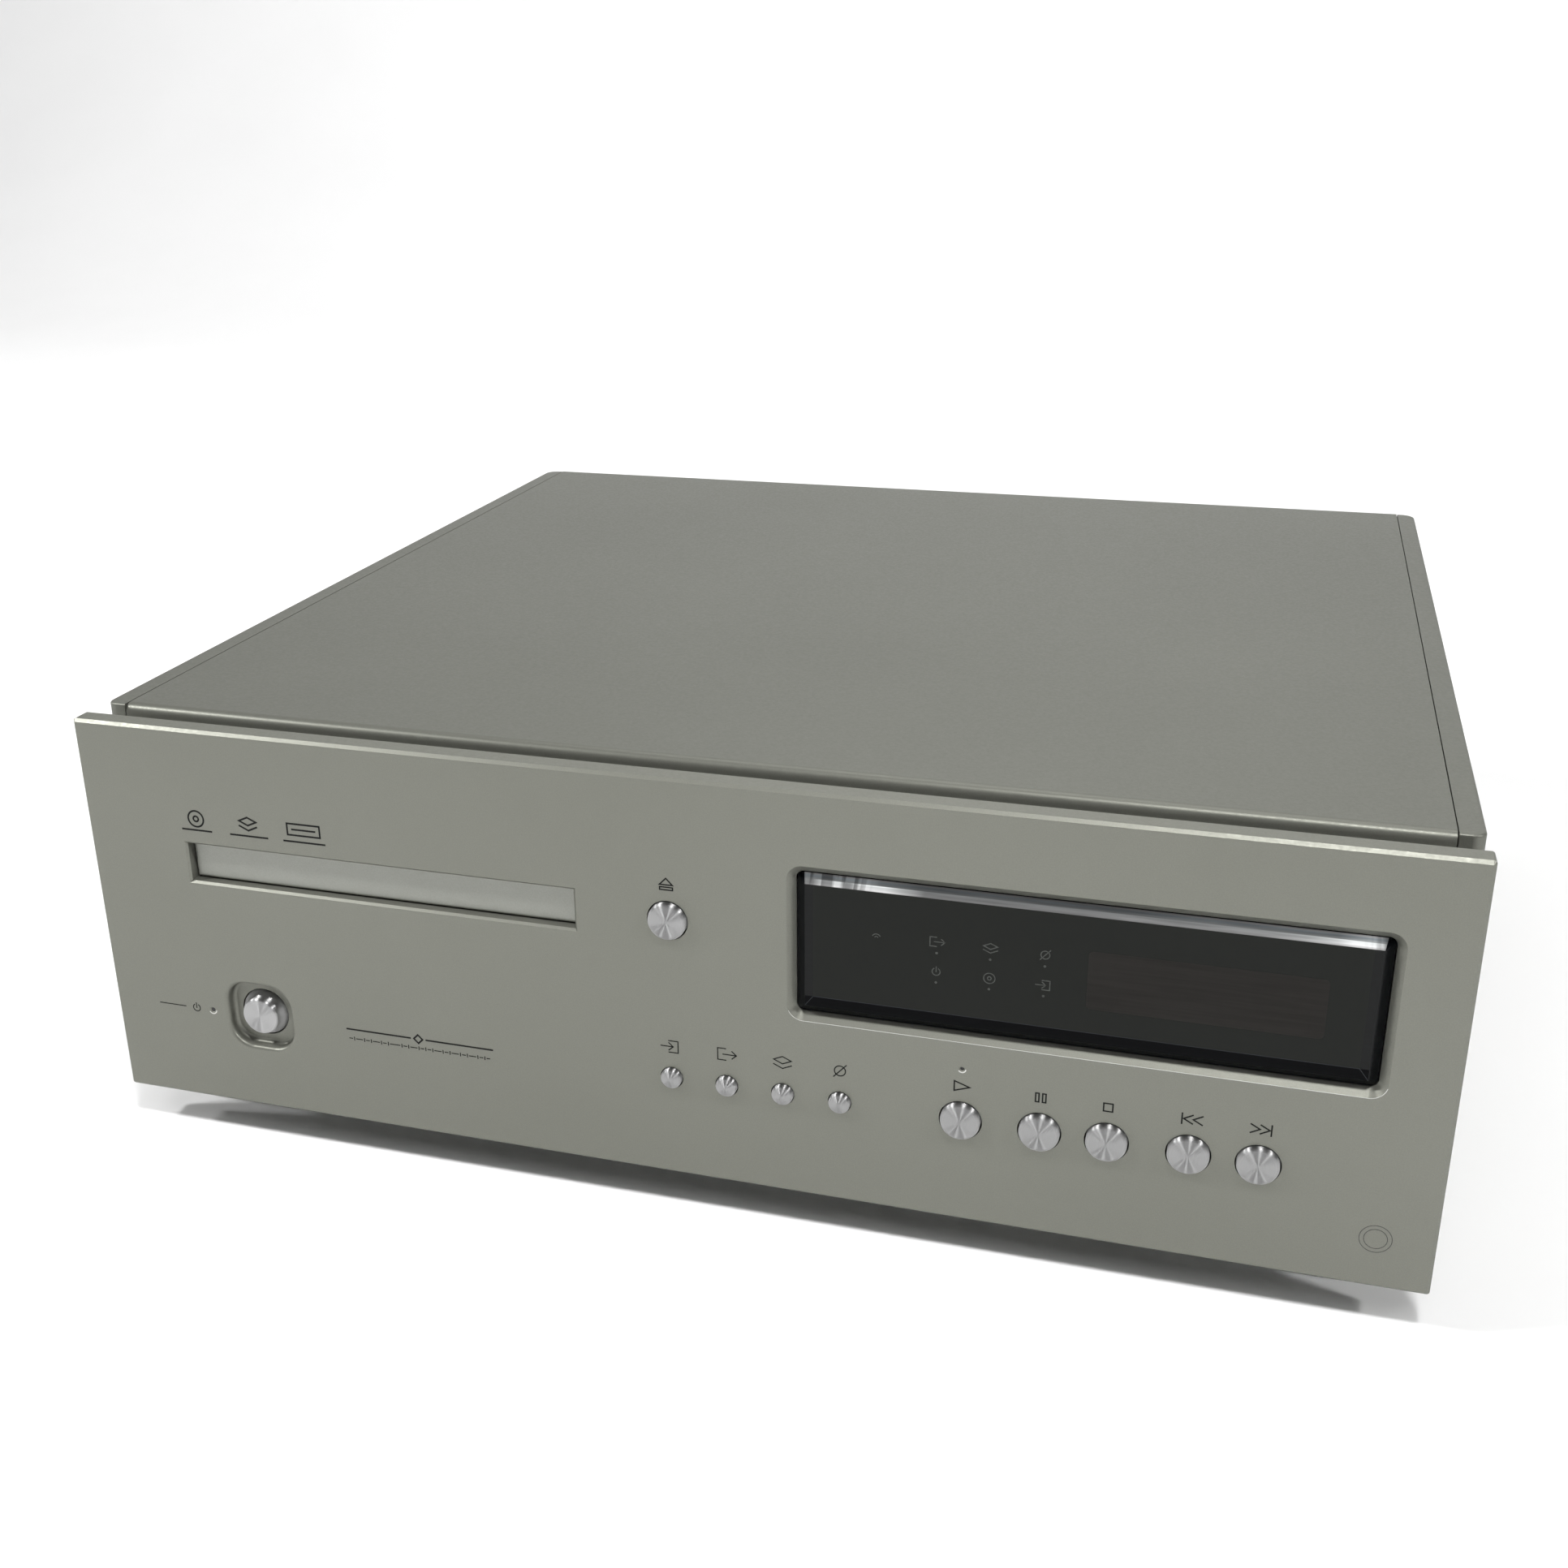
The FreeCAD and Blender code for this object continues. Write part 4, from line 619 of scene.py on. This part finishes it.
# line widths and heights of the marks, in millimetres
LINE, PICTURE_LINE, GLYPH_LINE, RULE_LINE, PRINT_LINE, DASH_LINE = 0.46, 0.38, 0.62, 0.6, 0.36, 0.34
LIT_LINE, DOT_LINE, WAVE_LINE, RING_LINE, EDGE_LINE = 0.3, 0.4, 0.28, 0.22, 0.18
SYMBOL_Z, PICTURE_Z, UNDERLINE_Z, RULE_Z, DASH_Z, POWER_Z = 48.3, 47.6, 104.3, 36.4, 32.9, 35.9
WINDOW_INK = {"material": INK_DIM, "y": WINDOW_LOW.y}


def eject_symbol(x, z):
    return [(True, [(x - 2.1, z - 0.2), (x + 2.1, z - 0.2), (x, z + 2.0)]),
            loop(x - 2.1, z - 1.9, x + 2.1, z - 1.0)]


def skip_symbol(x, z, way):
    """Two open chevrons and a bar; way is 1 to the right, -1 to the left."""
    paths = [(False, [(x + way * start, z - 1.45), (x + way * (start + 2.6), z),
                      (x + way * start, z + 1.45)]) for start in (-3.1, -0.3)]
    return paths + [(False, [(x + way * 2.75, z - 1.75), (x + way * 2.75, z + 1.75)])]


mark("eject_mark", eject_symbol(-13.0, 104.7), LINE)
mark("play_mark", [(True, [(78.0, SYMBOL_Z - 1.7), (82.7, SYMBOL_Z), (78.0, SYMBOL_Z + 1.7)])], LINE)
mark("pause_mark", [loop(102.7, SYMBOL_Z - 1.5, 103.7, SYMBOL_Z + 1.5),
                    loop(104.8, SYMBOL_Z - 1.5, 105.8, SYMBOL_Z + 1.5)], LINE)
mark("stop_mark", [loop(122.9, SYMBOL_Z - 1.35, 125.6, SYMBOL_Z + 1.35)], LINE)
mark("previous_mark", skip_symbol(148.4, SYMBOL_Z, -1), LINE)
mark("next_mark", skip_symbol(168.3, SYMBOL_Z, 1), LINE)


# plain pictograms; each is drawn round (x, z) and scaled by k

def arrow_in(x, z, k=1.0):
    return [(False, [(x - 0.6 * k, z + 1.9 * k), (x + 2.2 * k, z + 1.9 * k), (x + 2.2 * k, z - 1.9 * k),
                     (x - 0.6 * k, z - 1.9 * k)]),
            (False, [(x - 3.0 * k, z), (x + 0.7 * k, z)]),
            (False, [(x - 0.6 * k, z + 1.2 * k), (x + 0.7 * k, z), (x - 0.6 * k, z - 1.2 * k)])]


def arrow_out(x, z, k=1.0):
    return [(False, [(x - 0.2 * k, z + 1.9 * k), (x - 2.6 * k, z + 1.9 * k), (x - 2.6 * k, z - 1.9 * k),
                     (x - 0.2 * k, z - 1.9 * k)]),
            (False, [(x - 1.0 * k, z), (x + 3.0 * k, z)]),
            (False, [(x + 1.7 * k, z + 1.2 * k), (x + 3.0 * k, z), (x + 1.7 * k, z - 1.2 * k)])]


def layers(x, z, k=1.0):
    return [(True, [(x - 2.6 * k, z + 0.8 * k), (x, z + 2.0 * k), (x + 2.6 * k, z + 0.8 * k),
                    (x, z - 0.4 * k)]),
            (False, [(x - 2.6 * k, z - 0.7 * k), (x, z - 1.9 * k), (x + 2.6 * k, z - 0.7 * k)])]


def phase(x, z, k=1.0):
    return [ring(x, z, 1.6 * k), (False, [(x - 1.8 * k, z - 2.0 * k), (x + 1.8 * k, z + 2.0 * k)])]


def disc(x, z, k=1.0):
    return [ring(x, z, 2.1 * k), ring(x, z, 0.7 * k, 16)]


def standby(x, z, k=1.0):
    return [(False, arc(x, z, 1.5 * k, 125, 415, 24)), (False, [(x, z), (x, z + 2.0 * k)])]


for name, shape, x in (("input", arrow_in, -13.2), ("output", arrow_out, 5.3), ("layer", layers, 23.7),
                       ("phase", phase, 42.2)):
    mark(name + "_mark", shape(x, PICTURE_Z, 1.1), PICTURE_LINE)


def ticks(x0, x1, z, tall, pattern):
    """A row of upright strokes and dashes that fills a given length, in place of small print."""
    paths, step = [], (x1 - x0) / len(pattern)
    for index, kind in enumerate(pattern):
        x = x0 + (index + 0.5) * step
        if kind == "i":
            paths.append((False, [(x, z - tall / 2), (x, z + tall / 2)]))
        else:
            paths.append((False, [(x - step * 0.4, z), (x + step * 0.4, z)]))
    return paths


def level(x0, x1, z):
    """One level line."""
    return False, [(x0, z), (x1, z)]


mark("power_print", standby(-187.9, POWER_Z, 0.9) + [level(-202.5, -192.3, POWER_Z)], PRINT_LINE)
diamond = [(-104.6, RULE_Z), (-103.0, RULE_Z + 1.6), (-101.4, RULE_Z), (-103.0, RULE_Z - 1.6)]
mark("maker_rule", [level(-129.5, -106.0, RULE_Z), level(-100.0, -76.0, RULE_Z), (True, diamond)], RULE_LINE)
dashes = ticks(-129.0, -77.0, DASH_Z, 1.1, "-i--i-i--i-i---i-i--i-i-i--i-i--i-i--i-i-")
mark("maker_dashes", dashes, DASH_LINE)
mark("disc_glyph_a", disc(-177.5, 108.4, 1.35) + [level(-183.0, -172.2, UNDERLINE_Z)], GLYPH_LINE)
mark("disc_glyph_b", layers(-158.0, 108.6, 1.2) + [level(-164.8, -151.2, UNDERLINE_Z)], GLYPH_LINE)
mark("disc_glyph_c", [loop(-143.4, 106.6, -131.6, 110.6), level(-141.6, -133.4, 108.6),
                      level(-145.0, -130.2, UNDERLINE_Z)], GLYPH_LINE)
mark("corner_ring", [ring(203.1, 17.0, 4.6), ring(203.1, 17.0, 3.3)], RING_LINE, INK_GREY)

# the unlit screen, figures and indicator dots behind the window; the area is left, low, right, high
DISPLAY_AREA, DISPLAY_CORNER = (115.7, 80.4, 182.1, 99.3), 1.5


def rounded_loop(x0, z0, x1, z1, radius, steps=8):
    """Points round a rectangle with rounded corners."""
    points = []
    for x, z, start in ((x0 + radius, z0 + radius, 180), (x1 - radius, z0 + radius, 270),
                        (x1 - radius, z1 - radius, 0), (x0 + radius, z1 - radius, 90)):
        points += arc(x, z, radius, start, start + 90, steps)
    return points


def plate(outline, y):
    """A thin flat plate from an outline of (x, z) points in metres."""
    def build(work):
        front = [work.verts.new((x, y, z)) for x, z in outline]
        back = [work.verts.new((x, y + INK_THICK, z)) for x, z in outline]
        work.faces.new(front)
        work.faces.new(back)
        for index in range(len(outline)):
            after = (index + 1) % len(outline)
            work.faces.new((front[index], front[after], back[after], back[index]))
    return mesh_from(build)


screen_outline = [(x * MM, absolute(z)) for x, z in rounded_loop(*DISPLAY_AREA, DISPLAY_CORNER)]
screen = piece("display_screen", plate(screen_outline, WINDOW_LOW.y - INK_LIFT), "case", "display_glass")
dress(screen, polished("screen_glass", (0.0190, 0.0178, 0.0164), 0.3, 0.05))
UPPER_ROW, LOWER_ROW = (96.3, 92.6), (86.4, 82.8)
COLUMNS = (71.4, 87.3, 103.3)
for (row, dot), figures in ((UPPER_ROW, (("output", arrow_out), ("layer", layers), ("phase", phase))),
                            (LOWER_ROW, (("standby", standby), ("disc", disc), ("input", arrow_in)))):
    for x, (name, shape) in zip(COLUMNS, figures):
        mark("lit_" + name, shape(x, row, 0.8), LIT_LINE, **WINDOW_INK)
        mark("lit_" + name + "_dot", [ring(x, dot, 0.2, 8)], DOT_LINE, **WINDOW_INK)
waves = [(False, arc(53.1, 95.2, radius, 30, 150, steps)) for radius, steps in ((1.3, 10), (0.5, 6))]
mark("remote_mark", waves, WAVE_LINE, **WINDOW_INK)

# painted highlights: bright metal strips laid where highlights fall, along the display opening's lower edge
# and round the lower rims of the two lamp holes; the holes are each given as (x, z, radius)
EDGE_OUT, EDGE_CORNER, RIM_OUT = 2.8, 5.0, 0.22
edge_left, edge_right = WINDOW_LOW.x / MM - EDGE_OUT, WINDOW_HIGH.x / MM + EDGE_OUT
edge_low = (WINDOW_LOW.z - PANEL_BOTTOM) / MM - EDGE_OUT
edge_turn = edge_low + EDGE_CORNER
edge_path = (arc(edge_left + EDGE_CORNER, edge_turn, EDGE_CORNER, 205, 270, 10)
             + arc(edge_right - EDGE_CORNER, edge_turn, EDGE_CORNER, 270, 345, 10))
mark("opening_painted_highlight", [(False, edge_path)], EDGE_LINE, PAINTED_HIGHLIGHT, slot="satin_aluminium")
LIGHTS = {"play_light": (80.2, 54.3, 0.9), "power_light": (-181.5, POWER_Z, 1.2)}
for name, (x, z, radius) in LIGHTS.items():
    rim = arc(x, z, radius + RIM_OUT, 215, 350, 16)
    mark(name + "_rim", [(False, rim)], PRINT_LINE, PAINTED_HIGHLIGHT, slot="satin_aluminium")

# the fold lines of the acrylic's lower edge
FOLD_WIDE = 0.22 * MM
fold_left, fold_right = WINDOW_LOW.x + BEVEL_WIDE, WINDOW_HIGH.x - BEVEL_WIDE
fold_low = WINDOW_LOW.z + BEVEL_WIDE
fold_high = fold_low + MASK_LOW
fold_path = [(fold_left, fold_low), (fold_left + MASK_SIDE, fold_high),
             (fold_right - MASK_SIDE, fold_high), (fold_right, fold_low)]
fold = piece("window_fold", ribbon([(False, fold_path)], FOLD_WIDE, WINDOW_LOW.y - INK_LIFT),
             "case", "smoked_acrylic")
dress(fold, polished("fold_line", (0.016, 0.018, 0.02), 0.2))


# ---- stage, light and camera ----

def sweep():
    """A pale floor that curves up into a backdrop behind the object."""
    wide, front, rise_at, radius, tall = 6.0, -5.0, 1.6, 1.2, 4.0
    profile = [(front, 0.0), (rise_at, 0.0)]
    for step in range(1, 17):
        angle = math.pi / 2 * step / 16
        profile.append((rise_at + radius * math.sin(angle), radius * (1 - math.cos(angle))))
    profile.append((rise_at + radius, tall))

    def build(work):
        rows = [[work.verts.new((x, y, z)) for x in (-wide, wide)] for y, z in profile]
        for near_row, far_row in zip(rows, rows[1:]):
            work.faces.new((near_row[0], near_row[1], far_row[1], far_row[0]))
    return mesh_from(build)


floor = bpy.data.objects.new("floor", sweep())
bpy.context.scene.collection.objects.link(floor)
floor.data.shade_smooth()
dress(floor, grained("studio_paper", 0.86, 0.88, 60, 0.01 * MM, (0.8, 0.9), 0.0, 3))


def sky():
    """Light from the horizon that fades to a dim ceiling and is weaker in front of the object."""
    world = bpy.data.worlds.new("studio")
    world.use_nodes = True
    tree = world.node_tree
    place = tree.nodes.new("ShaderNodeTexCoord")
    split = tree.nodes.new("ShaderNodeSeparateXYZ")
    fade = tree.nodes.new("ShaderNodeValToRGB")
    dim = tree.nodes.new("ShaderNodeMapRange")
    tree.links.new(place.outputs["Generated"], split.inputs["Vector"])
    tree.links.new(split.outputs["Z"], fade.inputs["Fac"])
    tree.links.new(fade.outputs["Color"], tree.nodes["Background"].inputs["Color"])
    tree.links.new(split.outputs["Y"], dim.inputs["Value"])
    tree.links.new(dim.outputs["Result"], tree.nodes["Background"].inputs["Strength"])
    for name, value in (("From Min", -0.5), ("From Max", 0.3), ("To Min", 0.45), ("To Max", 1.0)):
        dim.inputs[name].default_value = value
    for element, (height, tone) in zip(fade.color_ramp.elements, ((0.03, 0.75), (0.42, 0.15))):
        element.position, element.color = height, colour(tone)
    bpy.context.scene.world = world


sky()


def softbox(name, place, target, size, power):
    """A rectangular area lamp at a place, aimed at a target."""
    lamp = bpy.data.lights.new(name, "AREA")
    lamp.shape = "RECTANGLE"
    lamp.size, lamp.size_y = size
    lamp.energy = power
    holder = bpy.data.objects.new(name, lamp)
    holder.location = place
    holder.rotation_euler = (Vector(target) - Vector(place)).to_track_quat("-Z", "Y").to_euler()
    bpy.context.scene.collection.objects.link(holder)
    return holder


TARGET = (0.0, 0.0, 0.08)
LAMP = (0.26, 0.26)
# a row of lamps across the room, a little in front of the object; turned faces mirror each one as a streak
ROW_Y, ROW_Z = -0.9, 1.95
for name, x, power in (("far_left_lamp", -3.9, 52), ("left_lamp", -1.85, 40), ("middle_lamp", 0.36, 20),
                       ("right_lamp", 2.55, 40)):
    softbox(name, (x, ROW_Y, ROW_Z), TARGET, LAMP, power)
softbox("backdrop_wash", (0.0, 0.9, 2.9), (0.0, 2.8, 0.4), (2.6, 0.5), 45)
# a faint pool of light on the floor, which lifts the lower front plate
pool = softbox("floor_pool", (0.15, -1.15, 1.3), (0.05, -0.8, 0.0), (0.5, 0.5), 0.8)
pool.data.spread = math.radians(70)
pool.visible_glossy = False

# the camera, as solved from the edges of the front plate and the case in the photo
EYE = Vector((0.1532, -0.6604, 0.34735))
LOOK = Vector((-0.2676, 0.8906, -0.3678)).normalized()
UP = Vector((-0.0935, 0.3559, 0.9298))
lens = bpy.data.cameras.new("camera")
lens.sensor_width = 36
lens.lens = 39.90
lens.shift_x, lens.shift_y = 0.0166, -0.0098
lens.clip_start, lens.clip_end = 0.01, 50
camera = bpy.data.objects.new("camera", lens)
side = LOOK.cross(UP).normalized()
up = side.cross(LOOK)
camera.matrix_world = Matrix(((side.x, up.x, -LOOK.x, EYE.x), (side.y, up.y, -LOOK.y, EYE.y),
                              (side.z, up.z, -LOOK.z, EYE.z), (0, 0, 0, 1)))
bpy.context.scene.collection.objects.link(camera)
bpy.context.scene.camera = camera
bpy.context.scene.view_settings.view_transform = "Standard"
